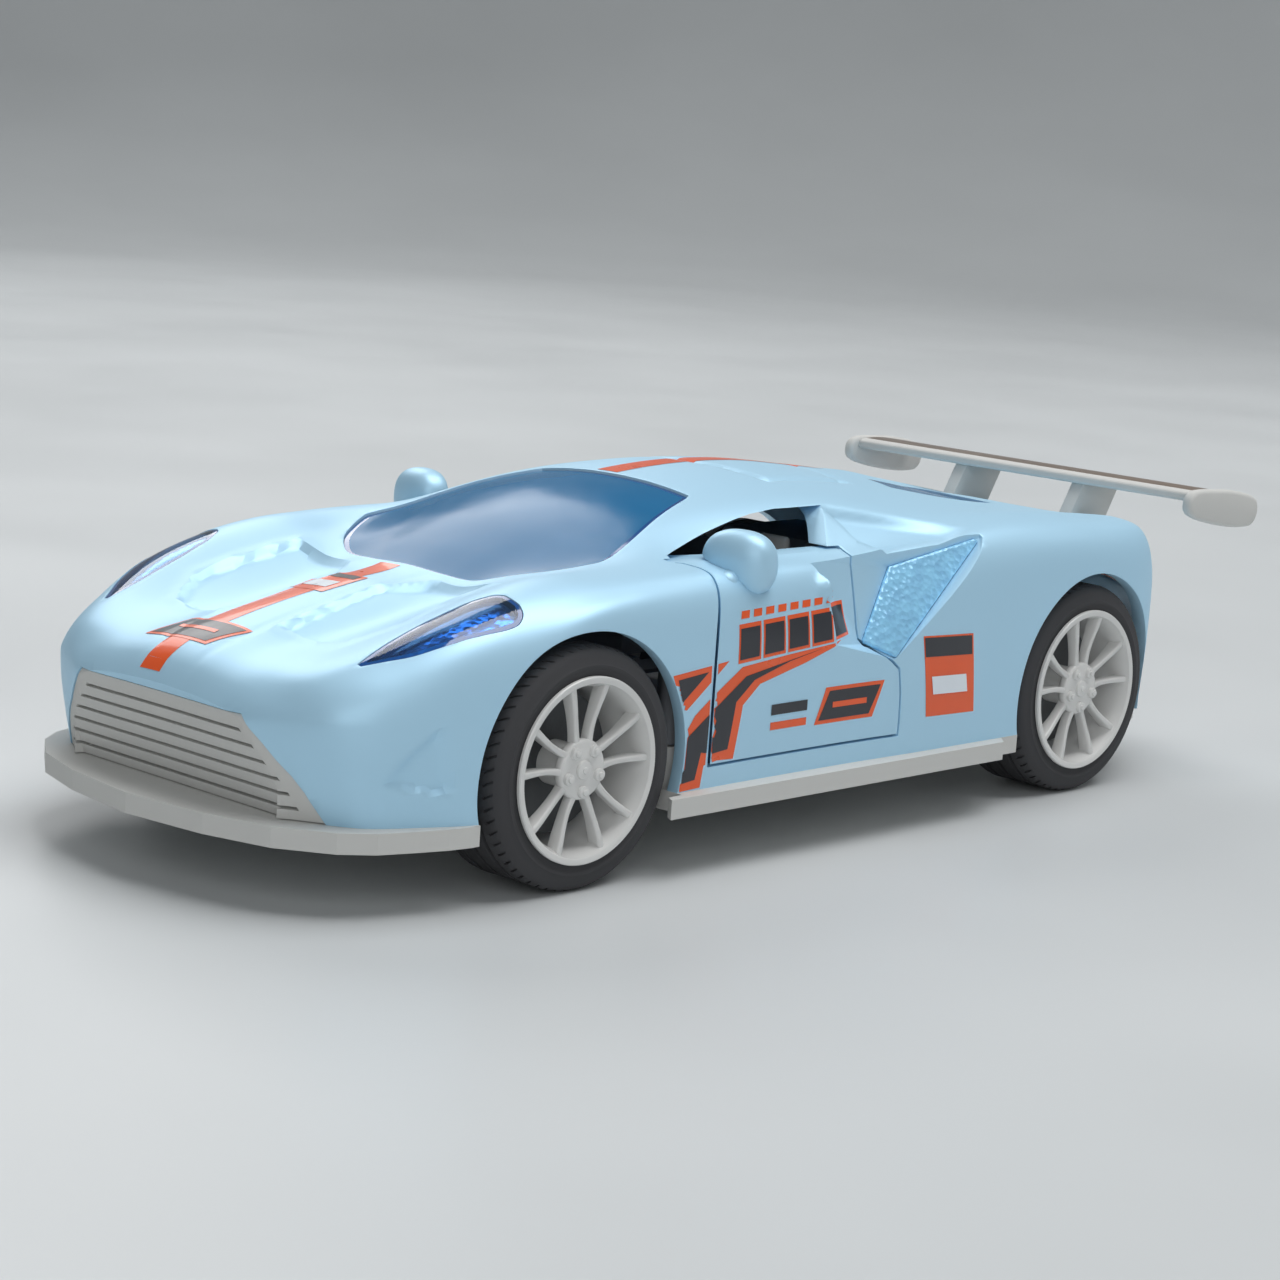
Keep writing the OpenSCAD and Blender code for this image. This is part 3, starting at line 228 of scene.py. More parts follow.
def relief(x, y, z):
    """Cast detail as a depth under the body surface, in millimetres."""
    d = 0.0
    if y < -40 and z > 20:
        e = inside(POCKET, x, y)
        d += 0.5 * smooth((e + 0.1) / 0.8) - 0.2 * math.exp(-((e + 0.25) / 0.45) ** 2)
        if x < 4.5:
            d += 0.1 * math.exp(-((x - 3.6) / 0.5) ** 2)
    if y < -50 and x > 14 and z < 20:
        e = inside(CORNER, y, z)
        d += 0.75 * smooth(e / 0.8) * min(1.0, max(0.0, (y + 65.8) / 5.0))
    if 0 < y < 24 and x > 12 and z > 26:
        d += 0.8 * smooth(inside(SAIL, y, z) / 0.7)
    if x > 20 and -10 < y < 3 and 23 < z < 31:
        h = math.hypot((y + 3.6) / 2.6, (z - 26.9) / 1.5)
        d -= 0.85 * smooth((1.15 - h) / 0.5)
    if z > 31 and x < 12 and 2 < y < 21:
        for line in (((9.4, 3.6), (8.9, 17.5)), ((0, 19.6), (8.9, 17.5)), ((0, 2.2), (9.4, 3.6))):
            (ax, ay), (bx, by) = line
            t = max(0.0, min(1.0, ((x - ax) * (bx - ax) + (y - ay) * (by - ay)) / ((bx - ax) ** 2 + (by - ay) ** 2)))
            d += 0.3 * math.exp(-((math.hypot(x - ax - t * (bx - ax), y - ay - t * (by - ay))) / 0.42) ** 2)
    return d


def body_form(depth, foot, step, columns, detail=False):
    """Closed solid under the body surface at a depth, with a flat foot."""
    spans = max(8, round((NET_Y[-1] - NET_Y[0]) / step))
    bm = bmesh.new()
    bmesh.ops.create_grid(bm, x_segments=16 * columns, y_segments=spans, size=1)
    curves = []
    for k in range(spans + 1):
        y = NET_Y[0] + (NET_Y[-1] - NET_Y[0]) * k / spans
        half = half_curve(net_at(y), columns)
        dent = np.array([relief(p[0], y, p[1]) for p in half]) if detail else 0.0
        curves.append((y, inward(half, depth + dent)))
    for v in bm.verts:
        j = round((v.co.x + 1) / 2 * 16 * columns) - 8 * columns
        k = round((v.co.y + 1) / 2 * spans)
        y, half = curves[k]
        x, z = half[abs(j)]
        back = y + depth * (1 - 2 * k / spans)
        v.co = (math.copysign(x, j) if j else 0.0, back + raked(y, z), z)
    rim = [e for e in bm.edges if e.is_boundary]
    grown = bmesh.ops.extrude_edge_only(bm, edges=rim)["geom"]
    nose = curves[0][0] + depth
    for v in grown:
        if isinstance(v, bmesh.types.BMVert):
            if v.co.z > SILL_Z + 3 and v.co.y < -60:
                v.co.y = nose + raked(curves[0][0], foot)
            v.co.z = foot
    bmesh.ops.contextual_create(bm, geom=[e for e in bm.edges if e.is_boundary])
    bmesh.ops.recalc_face_normals(bm, faces=bm.faces)
    return temp(bm)


# ---- building blocks ------------------------------------------------------

def temp(bm):
    mesh = bpy.data.meshes.new("work")
    bm.to_mesh(mesh)
    bm.free()
    ob = bpy.data.objects.new("work", mesh)
    bpy.context.scene.collection.objects.link(ob)
    return ob


def copy_of(ob):
    twin = bpy.data.objects.new("work", ob.data.copy())
    bpy.context.scene.collection.objects.link(twin)
    return twin


def drop(*obs):
    for ob in obs:
        mesh = ob.data
        bpy.data.objects.remove(ob)
        if mesh.users == 0:
            bpy.data.meshes.remove(mesh)


def bake(ob):
    mesh = bpy.data.meshes.new_from_object(ob.evaluated_get(bpy.context.evaluated_depsgraph_get()))
    old = ob.data
    ob.modifiers.clear()
    ob.data = mesh
    bpy.data.meshes.remove(old)


def combine(ob, how, *tools):
    """Booleans ob with each tool in turn, then drops the tools."""
    for tool in tools:
        m = ob.modifiers.new("cut", "BOOLEAN")
        m.operation, m.solver, m.object = how, "MANIFOLD", tool
        bake(ob)
        drop(tool)
    return ob


def cut(ob, *tools):
    return combine(ob, "DIFFERENCE", *tools)


def keep(ob, *tools):
    return combine(ob, "INTERSECT", *tools)


def curve_through(points, per=6, closed=True):
    """Catmull-Rom curve through outline points."""
    n = len(points)
    out = []
    for i in range(n if closed else n - 1):
        near = (k % n if closed else min(max(k, 0), n - 1) for k in (i - 1, i, i + 1, i + 2))
        a, b, c, d = (np.array(points[k], float) for k in near)
        for k in range(per):
            t = k / per
            out.append(b + 0.5 * t * (c - a + t * (2 * a - 5 * b + 4 * c - d + t * (3 * (b - c) + d - a))))
    if not closed:
        out.append(np.array(points[-1], float))
    return out


def grown(outline, by):
    """Outline moved outward by a small distance."""
    n = len(outline)
    s = math.copysign(1, turning(outline))
    out = []
    for i in range(n):
        a, b, c = (np.array(outline[k % n], float) for k in (i - 1, i, i + 1))
        e, f = b - a, c - b
        ne = np.array([e[1], -e[0]]) / (np.linalg.norm(e) + 1e-9)
        nf = np.array([f[1], -f[0]]) / (np.linalg.norm(f) + 1e-9)
        m = ne + nf
        m /= max(np.dot(m, m) / 2, 0.4)
        out.append(b + s * by * m)
    return out


def prism(outline, axis, low, high):
    """Outline extruded along an axis. Outline pairs are the other two coordinates, in the order x, y, z."""
    bm = bmesh.new()
    place = {"x": lambda u, v, w: (w, u, v), "y": lambda u, v, w: (u, w, v), "z": lambda u, v, w: (u, v, w)}[axis]
    face = bm.faces.new([bm.verts.new(place(float(u), float(v), low)) for u, v in outline])
    moved = bmesh.ops.extrude_face_region(bm, geom=[face])["geom"]
    top = [g for g in moved if isinstance(g, bmesh.types.BMVert)]
    bmesh.ops.translate(bm, verts=top, vec=place(0, 0, high - low))
    bmesh.ops.recalc_face_normals(bm, faces=bm.faces)
    return temp(bm)


def block(low, high):
    bm = bmesh.new()
    bmesh.ops.create_cube(bm, size=1)
    bmesh.ops.scale(bm, verts=bm.verts, vec=[b - a for a, b in zip(low, high)])
    bmesh.ops.translate(bm, verts=bm.verts, vec=[(a + b) / 2 for a, b in zip(low, high)])
    return temp(bm)


def rod(axis, centre, radius, length, steps=64):
    bm = bmesh.new()
    bmesh.ops.create_cone(bm, cap_ends=True, segments=steps, radius1=radius, radius2=radius, depth=length)
    if axis == "x":
        bmesh.ops.rotate(bm, verts=bm.verts, matrix=Matrix.Rotation(math.pi / 2, 3, "Y"))
    bmesh.ops.translate(bm, verts=bm.verts, vec=centre)
    return temp(bm)


def hull(points, radius=0.05):
    ball = bmesh.new()
    for p in points:
        bmesh.ops.create_icosphere(ball, subdivisions=2, radius=radius, matrix=Matrix.Translation(p))
    bm = bmesh.new()
    for v in ball.verts:
        bm.verts.new(v.co)
    ball.free()
    bmesh.ops.convex_hull(bm, input=bm.verts[:])
    bmesh.ops.delete(bm, geom=[v for v in bm.verts if not v.link_faces], context="VERTS")
    bmesh.ops.recalc_face_normals(bm, faces=bm.faces[:])
    return temp(bm)


def mirrored(ob):
    """A left piece mirrored to the right, as a new object."""
    twin = copy_of(ob)
    bm = bmesh.new()
    bm.from_mesh(twin.data)
    bmesh.ops.scale(bm, verts=bm.verts, vec=(-1, 1, 1))
    bmesh.ops.reverse_faces(bm, faces=bm.faces)
    bm.to_mesh(twin.data)
    bm.free()
    return twin


def rounded(ob, width, segments=2, angle=35):
    """Rounds the edges sharper than an angle."""
    if width > 0:
        m = ob.modifiers.new("round", "BEVEL")
        m.width, m.segments, m.limit_method, m.angle_limit = width, segments, "ANGLE", math.radians(angle)
        m.use_clamp_overlap, m.profile = True, 0.5
        bake(ob)
    return ob


def done(ob, name, body, surface, replaces=(), angle=38, flat=False):
    """Places a finished piece in the frame, in metres, with its body and material, and hides the CAD nodes it stands
    for.
    """
    ob.name = ob.data.name = name
    ob.data.transform(Matrix.Scale(0.001, 4) @ Matrix.Translation((0, CENTRE_Y, 0)))
    ob.data.materials.clear()
    for m in surface if isinstance(surface, (list, tuple)) else [surface]:
        ob.data.materials.append(m)
    for p in ob.data.polygons:
        p.use_smooth = not flat
    if not flat:
        ob.data.set_sharp_from_angle(angle=math.radians(angle))
    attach(ob, body)
    if replaces:
        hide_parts(*replaces)
    return ob


def joined(*obs):
    """Several work objects as one mesh."""
    bm = bmesh.new()
    for ob in obs:
        bm.from_mesh(ob.data)
    drop(*obs)
    return temp(bm)


def tree(*obs):
    bm = bmesh.new()
    for ob in obs:
        bm.from_mesh(ob.data)
    made = BVHTree.FromBMesh(bm)
    bm.free()
    return made


def plan(rows):
    """Left-right symmetric plan outline from rows of y and half width."""
    right = curve_through([(w, y) for y, w in rows], 4, closed=False)
    return right + curve_through([(-w, y) for y, w in reversed(rows)], 4, closed=False)


def lamp_outline():
    """Plan outline of a headlight, from rows of y and its two edges."""
    outer = curve_through([(r[2], r[0]) for r in LAMP], 4, closed=False)
    return outer + curve_through([(r[1], r[0]) for r in reversed(LAMP)], 4, closed=False)


def grille_outline():
    return [(w, z) for z, w in GRILLE] + [(-w, z) for z, w in reversed(GRILLE)]


def side_outline(rows):
    return [(r[2], r[0]) for r in rows] + [(r[1], r[0]) for r in reversed(rows)]


# ---- materials ------------------------------------------------------------

def material(name, color, rough, metal=0.0, coat=0.0, vary=0.05, scale=160.0, grain=2600.0, bump=0.03,
             clear=0.0, spots=0.0, spot_color=(0.03, 0.03, 0.035), sparkle=0.0, shine=0.5):
    """Procedural surface in object coordinates: mottled colour, uneven gloss, fine grain and optional scuffs."""
    if name in bpy.data.materials:
        return bpy.data.materials[name]
    m = bpy.data.materials.new(name)
    m.use_nodes = True
    nodes, links = m.node_tree.nodes, m.node_tree.links
    shader = nodes["Principled BSDF"]
    place = nodes.new("ShaderNodeTexCoord")

    def noise(size, detail, roughness=0.5):
        n = nodes.new("ShaderNodeTexNoise")
        n.inputs["Scale"].default_value = size
        n.inputs["Detail"].default_value = detail
        n.inputs["Roughness"].default_value = roughness
        links.new(place.outputs["Object"], n.inputs["Vector"])
        return n.outputs["Fac"]

    def ranged(value, a, b, c, d):
        r = nodes.new("ShaderNodeMapRange")
        for key, v in zip(("From Min", "From Max", "To Min", "To Max"), (a, b, c, d)):
            r.inputs[key].default_value = v
        links.new(value, r.inputs["Value"])
        return r.outputs["Result"]

    def mixed(factor, a, b):
        x = nodes.new("ShaderNodeMix")
        x.data_type = "RGBA"
        links.new(factor, x.inputs["Factor"])
        for socket, v in ((x.inputs["A"], a), (x.inputs["B"], b)):
            if isinstance(v, tuple):
                socket.default_value = (*v, 1)
            else:
                links.new(v, socket)
        return x.outputs["Result"]

    base = tuple(color)
    tone = mixed(ranged(noise(scale, 3), 0.3, 0.7, 0, 1), tuple(c * (1 - vary) for c in base),
                 tuple(min(1.0, c * (1 + vary)) for c in base))
    if spots > 0:
        tone = mixed(ranged(noise(620, 4, 0.75), 0.665 - spots, 0.71 - spots, 0, 0.8), tone, spot_color)
    links.new(tone, shader.inputs["Base Color"])
    gloss = ranged(noise(scale * 2.3, 2), 0.3, 0.7, max(0.0, rough * 0.85), min(1.0, rough * 1.2))
    links.new(gloss, shader.inputs["Roughness"])
    b = nodes.new("ShaderNodeBump")
    b.inputs["Strength"].default_value = bump
    b.inputs["Distance"].default_value = 0.0002
    if sparkle > 0:
        v = nodes.new("ShaderNodeTexVoronoi")
        v.inputs["Scale"].default_value = sparkle
        links.new(place.outputs["Object"], v.inputs["Vector"])
        links.new(v.outputs["Distance"], b.inputs["Height"])
    else:
        links.new(noise(grain, 2), b.inputs["Height"])
    links.new(b.outputs["Normal"], shader.inputs["Normal"])
    shader.inputs["Metallic"].default_value = metal
    shader.inputs["Coat Weight"].default_value = coat
    shader.inputs["Specular IOR Level"].default_value = shine
    shader.inputs["Coat Roughness"].default_value = 0.06
    shader.inputs["Transmission Weight"].default_value = clear
    shader.inputs["IOR"].default_value = 1.46
    return m


def mats():
    """All surfaces of the car by name."""
    s = bpy.context.scene
    b, t = s.car_body, s.car_trim
    return {
        "paint": material("body_paint", b.paint, 0.27, coat=0.28, shine=0.3, vary=0.035, scale=60, grain=900, bump=0.05, spots=0.028,
                          spot_color=tuple(0.45 * c for c in b.paint)),
        "glass": material("window_glass", t.glass, 0.16, vary=0.03, bump=0.0, clear=0.3, shine=0.1),
        "lens": material("lamp_glass", t.lamp, 0.04, vary=0.05, bump=0.02, clear=0.94),
        "edge": material("glass_edge", (0.012, 0.11, 0.40), 0.08, coat=0.6, vary=0.1, bump=0.02, clear=0.3),
        "red": material("tail_lens", (0.5, 0.012, 0.015), 0.12, coat=0.5, sparkle=900, bump=0.3),
        "plated": material("plated", (0.80, 0.83, 0.88), 0.16, metal=1.0, vary=0.06, bump=0.4, sparkle=1300),
        # Paler blue than the body paint: painted glare on the intake insert. Its gloss and bump also make a real glint.
        "sparkle": material("intake_insert_painted_glare", (0.30, 0.64, 0.95), 0.22, metal=0.1, coat=0.3, vary=0.12, scale=700, bump=0.8,
                            sparkle=1500),
        "grey": material("grey_plastic", t.grey, 0.42, vary=0.05, grain=4200, bump=0.1, shine=0.25),
        # Darker brownish grey for the top of the wing blade: painted shade, the blade top taken as lying in shadow.
        "wing_top_shade": material("grey_plastic_painted_shade", (0.20, 0.155, 0.125), 0.30, vary=0.12, scale=90, bump=0.06),
        "rim": material("rim_silver", t.silver, 0.34, metal=0.35, vary=0.05, grain=3800, bump=0.12),
        "rubber": material("tyre_rubber", t.rubber, 0.6, vary=0.25, scale=220, grain=3000, bump=0.2, spots=0.005, shine=0.06,
                           spot_color=(0.05, 0.05, 0.05)),
        # Discs made dark grey so the gaps behind the spokes read dark: painted shade on the discs.
        "disc": material("brake_disc_painted_shade", (0.075, 0.08, 0.085), 0.4, metal=0.3, vary=0.2, bump=0.1),
        "cabin": material("cabin_plastic", (0.045, 0.055, 0.075), 0.5, vary=0.2, bump=0.2),
        "seat": material("seat_plastic", (0.50, 0.49, 0.46), 0.45, vary=0.06, bump=0.15),
        "motor": material("motor_plastic", (0.055, 0.06, 0.07), 0.45, vary=0.15, bump=0.15),
        "gear": material("gear_plastic", (0.78, 0.75, 0.64), 0.38, vary=0.05, bump=0.08),
        "steel": material("bright_steel", (0.58, 0.58, 0.60), 0.28, metal=1.0, vary=0.06, bump=0.08),
        "spring": material("spring_steel", (0.22, 0.24, 0.28), 0.32, metal=1.0, vary=0.12, bump=0.08),
        "orange": material("print_orange", t.orange, 0.32, coat=0.4, vary=0.03, bump=0.03),
        "dark": material("print_dark", t.dark, 0.35, coat=0.3, vary=0.1, bump=0.03),
        "white": material("print_white", (0.80, 0.86, 0.92), 0.32, coat=0.4, vary=0.02, bump=0.03),
    }


# ---- body parts -----------------------------------------------------------

def door_tool(grow, radius):
    """Column that frees the door, with its front edge rounded about the hinge."""
    outline = grown(side_outline(DOOR), grow) if grow else side_outline(DOOR)
    return cut(prism(outline, "x", 16, 40), rod("z", (HINGE[0], HINGE[1], 20), radius, 60))


def both(tool):
    return [tool, mirrored(tool)]


def intake_corners(scale):
    middle = np.mean([CREST, FOOT, LOW, INNER], axis=0)
    return [tuple(middle + scale * (np.array(p) - middle)) for p in (CREST, FOOT, LOW, INNER)]


class CarBodyOperator(bpy.types.Operator):
    """Makes the die-cast shell and the two doors from the body net"""
    bl_idname = "racecar.body"
    bl_label = "Shell and doors"

    def execute(self, context):
        p = context.scene.car_body
        m = mats()
        outer = body_form(0, SILL_Z - 0.04, p.row_step, p.columns, detail=True)
        shell = cut(outer, body_form(p.wall, SILL_Z - 2, 1.6, 4))
        door = keep(copy_of(shell), door_tool(0, DOOR_R))
        cut(door, hull(SCOOP))
        walls = keep(hull(SCOOP, p.wall), prism([(-8, 16), (24, 16), (24, 32), (-8, 32)], "x", 18, 40),
                     body_form(0.7, SILL_Z, 1.6, 4))
        door_wall = keep(copy_of(walls), prism([(-8, 17.6), (1.8, 17.6), (1.8, 29.2), (-8, 29.2)], "x", 18, 40),
                         door_tool(-0.04, DOOR_R + 0.04))
        cut(door_wall, hull(SCOOP))
        pad = keep(block((26.4, HINGE[1] + 5.2, 12.5), (30.4, HINGE[1] + 10.2, 19.5)), body_form(0.4, SILL_Z, 1.6, 4))
        combine(door, "UNION", door_wall, pad)
        combine(shell, "UNION", *both(walls))
        tools = []
        for y in (FRONT_Y, REAR_Y):
            tools += both(rod("x", (25.2, y, WHEEL_Z), ARCH_R, 20, 160))
        tools += [prism(grown(plan(SCREEN), 0.1), "z", 20, 50), prism(grown(plan(BACK), 0.1), "z", 20, 50)]
        tools += both(prism(grown(lamp_outline(), 0.1), "z", 16, 50))
        tools += both(door_tool(p.door_gap, POST_R))
        tools += both(prism(side_outline(WINDOW), "x", 13, 40))
        tools += both(hull(SCOOP))
        tools.append(prism(grown(grille_outline(), 0.1), "y", -76, -58))
        tools.append(block((-19.3, -76, 6), (19.3, -58, 8.6)))
        tools.append(block((-20.6, 56, 21.3), (20.6, 80, 25.5)))
        tools.append(block((-13, 58, 9.2), (13, 80, 18.5)))
        tools.append(block((-40, 54.8, 7), (40, 80, 10.2)))
        tools += both(hull(intake_corners(0.93), 0.4))
        cut(shell, *tools)
        rounded(shell, p.edge_round)
        rounded(door, p.edge_round)
        done(shell, "body_shell_paint", "root", m["paint"], ["body_shell"])
        twin = mirrored(door)
        done(door, "door_left_paint", "left_door", m["paint"], ["door_left"])
        done(twin, "door_right_paint", "right_door", m["paint"], ["door_right"])
        return {"FINISHED"}


class CarGlassOperator(bpy.types.Operator):
    """Makes the windscreen, the rear window and the headlights"""
    bl_idname = "racecar.glass"
    bl_label = "Windows and headlights"

    def execute(self, context):
        m = mats()

        def pane(top, under, outline, low):
            skin = cut(body_form(top, SILL_Z, 1.0, 8), body_form(under, SILL_Z - 2, 1.0, 8))
            return keep(skin, prism(outline, "z", low, 50))

        def split(whole, outline, width):
            """The pane inside a border, and its border."""
            border = cut(copy_of(whole), prism(grown(outline, -width), "z", 10, 60))
            return keep(whole, prism(grown(outline, -width), "z", 10, 60)), border

        for name, rows, node in (("windscreen", SCREEN, "windscreen"), ("rear_window", BACK, "rear_window")):
            glass, border = split(pane(0.25, 1.15, plan(rows), 20), plan(rows), 0.5)
            done(glass, f"{name}_glass", "root", m["glass"], [node])
            done(border, f"{name}_edge", "root", m["edge"])
        lens = pane(0.05, 0.95, lamp_outline(), 14)
        lamp = pane(1.25, 2.3, lamp_outline(), 14)
        for ob in (lens, lamp):
            cut(ob, rod("x", (25.2, FRONT_Y, WHEEL_Z), ARCH_R - 0.02, 20, 160))
        for side, s in SIDES:
            glass, border = split(copy_of(lens), lamp_outline(), 0.4)
            for kind, ob, mat in (("glass", glass, "lens"), ("edge", border, "edge")):
                piece = ob if s > 0 else mirrored(ob)
                if s < 0:
                    drop(ob)
                stands_for = [f"headlight_lens_{side}"] if kind == "glass" else ()
                done(piece, f"headlight_{kind}_{side}", "root", m[mat], stands_for)
            done(copy_of(lamp) if s > 0 else mirrored(lamp), f"headlight_plating_{side}", "root", m["plated"],
                 [f"headlight_reflector_{side}"], angle=30)
        drop(lens, lamp)
        return {"FINISHED"}


class CarNoseTailOperator(bpy.types.Operator):
    """Makes the louvred grille, the side intake inserts and the tail lamps"""
    bl_idname = "racecar.nose_tail"
    bl_label = "Grille, intakes and lamps"

    def execute(self, context):
        m = mats()
        outline = grille_outline()
        face = keep(cut(body_form(0.1, SILL_Z, 0.8, 8), body_form(1.9, SILL_Z - 2, 0.8, 8)), prism(outline, "y", -76, -60),
                    block((-30, -76, 8.3), (30, -60, 20)))
        inner = [(x * 0.90, 13 + (z - 13) * 0.86) for x, z in outline]
        field = prism(inner, "y", -76, -58)
        slots = []
        pitch = (17.0 - 9.0) / 6
        for i in range(6):
            z = 9.2 + i * pitch
            slots.append(keep(prism([(-25, z), (25, z), (25, z + 0.34), (-25, z + 0.34)], "y", -76, -58),
                              copy_of(field)))
        drop(field)
        deep = body_form(1.1, SILL_Z - 2, 0.8, 8)
        for s in slots:
            cut(s, copy_of(deep))
        drop(deep)
        cut(face, *slots)
        rounded(face, 0.12, 2)
        done(face, "grille_louvres", "root", m["grey"], ["front_grille"])
        insert = hull(intake_corners(0.93), 0.35)
        rounded(insert, 0.1)
        for side, s in SIDES:
            done(copy_of(insert) if s > 0 else mirrored(insert), f"intake_insert_{side}", "root", m["sparkle"],
                 [f"side_intake_{side}"], angle=30)
        drop(insert)
        lamps = keep(cut(body_form(0.2, SILL_Z, 0.8, 8), body_form(1.5, SILL_Z - 2, 0.8, 8)),
                     block((-20.5, 56, 21.4), (20.5, 80, 25.4)))
        rounded(lamps, 0.15)
        done(lamps, "tail_lamp_lenses", "root", m["red"], ["tail_lamps"])
        return {"FINISHED"}


class CarWingOperator(bpy.types.Operator):
    """Makes the rear wing with its struts and rounded end plates"""
    bl_idname = "racecar.wing"
    bl_label = "Rear wing"

    def execute(self, context):
        m = mats()
        blade = prism(curve_through([(61.8, 32.7), (62.4, 33.4), (66, 33.5), (71.6, 32.7), (71.7, 32.1), (66, 32.2), (62.3, 32.2)], 4),
                      "x", -25.4, 25.4)
        parts = [rounded(blade, 0.15)]
        for s in (-1, 1):
            strut = prism([(59.6, 27.6), (67, 26.4), (70.4, 32.1), (62.6, 32.5)], "x", 9 * s - 0.9, 9 * s + 0.9)
            parts.append(rounded(strut, 0.2))
            plate = prism(curve_through([(60.5, 32.2), (61.8, 33.6), (66, 33.6), (70, 33.3), (74.4, 32.4), (75.5, 31), (75, 29.3),
                                         (73.2, 28.7), (68, 29.1), (61.6, 30.5)], 5), "x", 26.1 * s - 0.7, 26.1 * s + 0.7)
            parts.append(rounded(plate, 0.5, 3))
        wing = joined(*parts)
        done(wing, "wing_moulding", "root", [m["grey"], m["wing_top_shade"]], ["rear_wing"])
        # Up-facing faces of the blade get the painted-shade grey.
        for f in wing.data.polygons:
            c = f.center * 1000
            if f.normal.z > 0.85 and abs(c.x) < 24.6 and c.z > 32.3 and c.y - CENTRE_Y > 63:
                f.material_index = 1
        return {"FINISHED"}


class CarMirrorOperator(bpy.types.Operator):
    """Makes the two rounded door mirrors"""
    bl_idname = "racecar.mirrors"
    bl_label = "Door mirrors"

    def execute(self, context):
        m = mats()
        bm = bmesh.new()
        bmesh.ops.create_uvsphere(bm, u_segments=48, v_segments=32, radius=1)
        for v in bm.verts:
            v.co = [math.copysign(abs(c) ** 0.82, c) for c in v.co]
            if v.co.y > 0.55:
                v.co.y = 0.55 + (v.co.y - 0.55) * 0.25
        bmesh.ops.scale(bm, verts=bm.verts, vec=(4.0, 2.6, 3.4))
        bmesh.ops.rotate(bm, verts=bm.verts, matrix=Matrix.Rotation(math.radians(14), 3, "Z"))
        bmesh.ops.translate(bm, verts=bm.verts, vec=(23.8, -16, 29.8))
        head = temp(bm)
        stalk = hull([(23.8, -16.2, 28.6), (24.6, -18.8, 28.0)], 1.35)
        skin = body_form(-0.02, SILL_Z, 1.6, 4)
        combine(head, "UNION", stalk)
        cut(head, skin, block((13, -24, 20), (21, -7, 29)))
        for side, s in SIDES:
            done(copy_of(head) if s > 0 else mirrored(head), f"mirror_head_{side}", f"{side}_door", m["paint"],
                 [f"mirror_{side}"])
        drop(head)
        return {"FINISHED"}


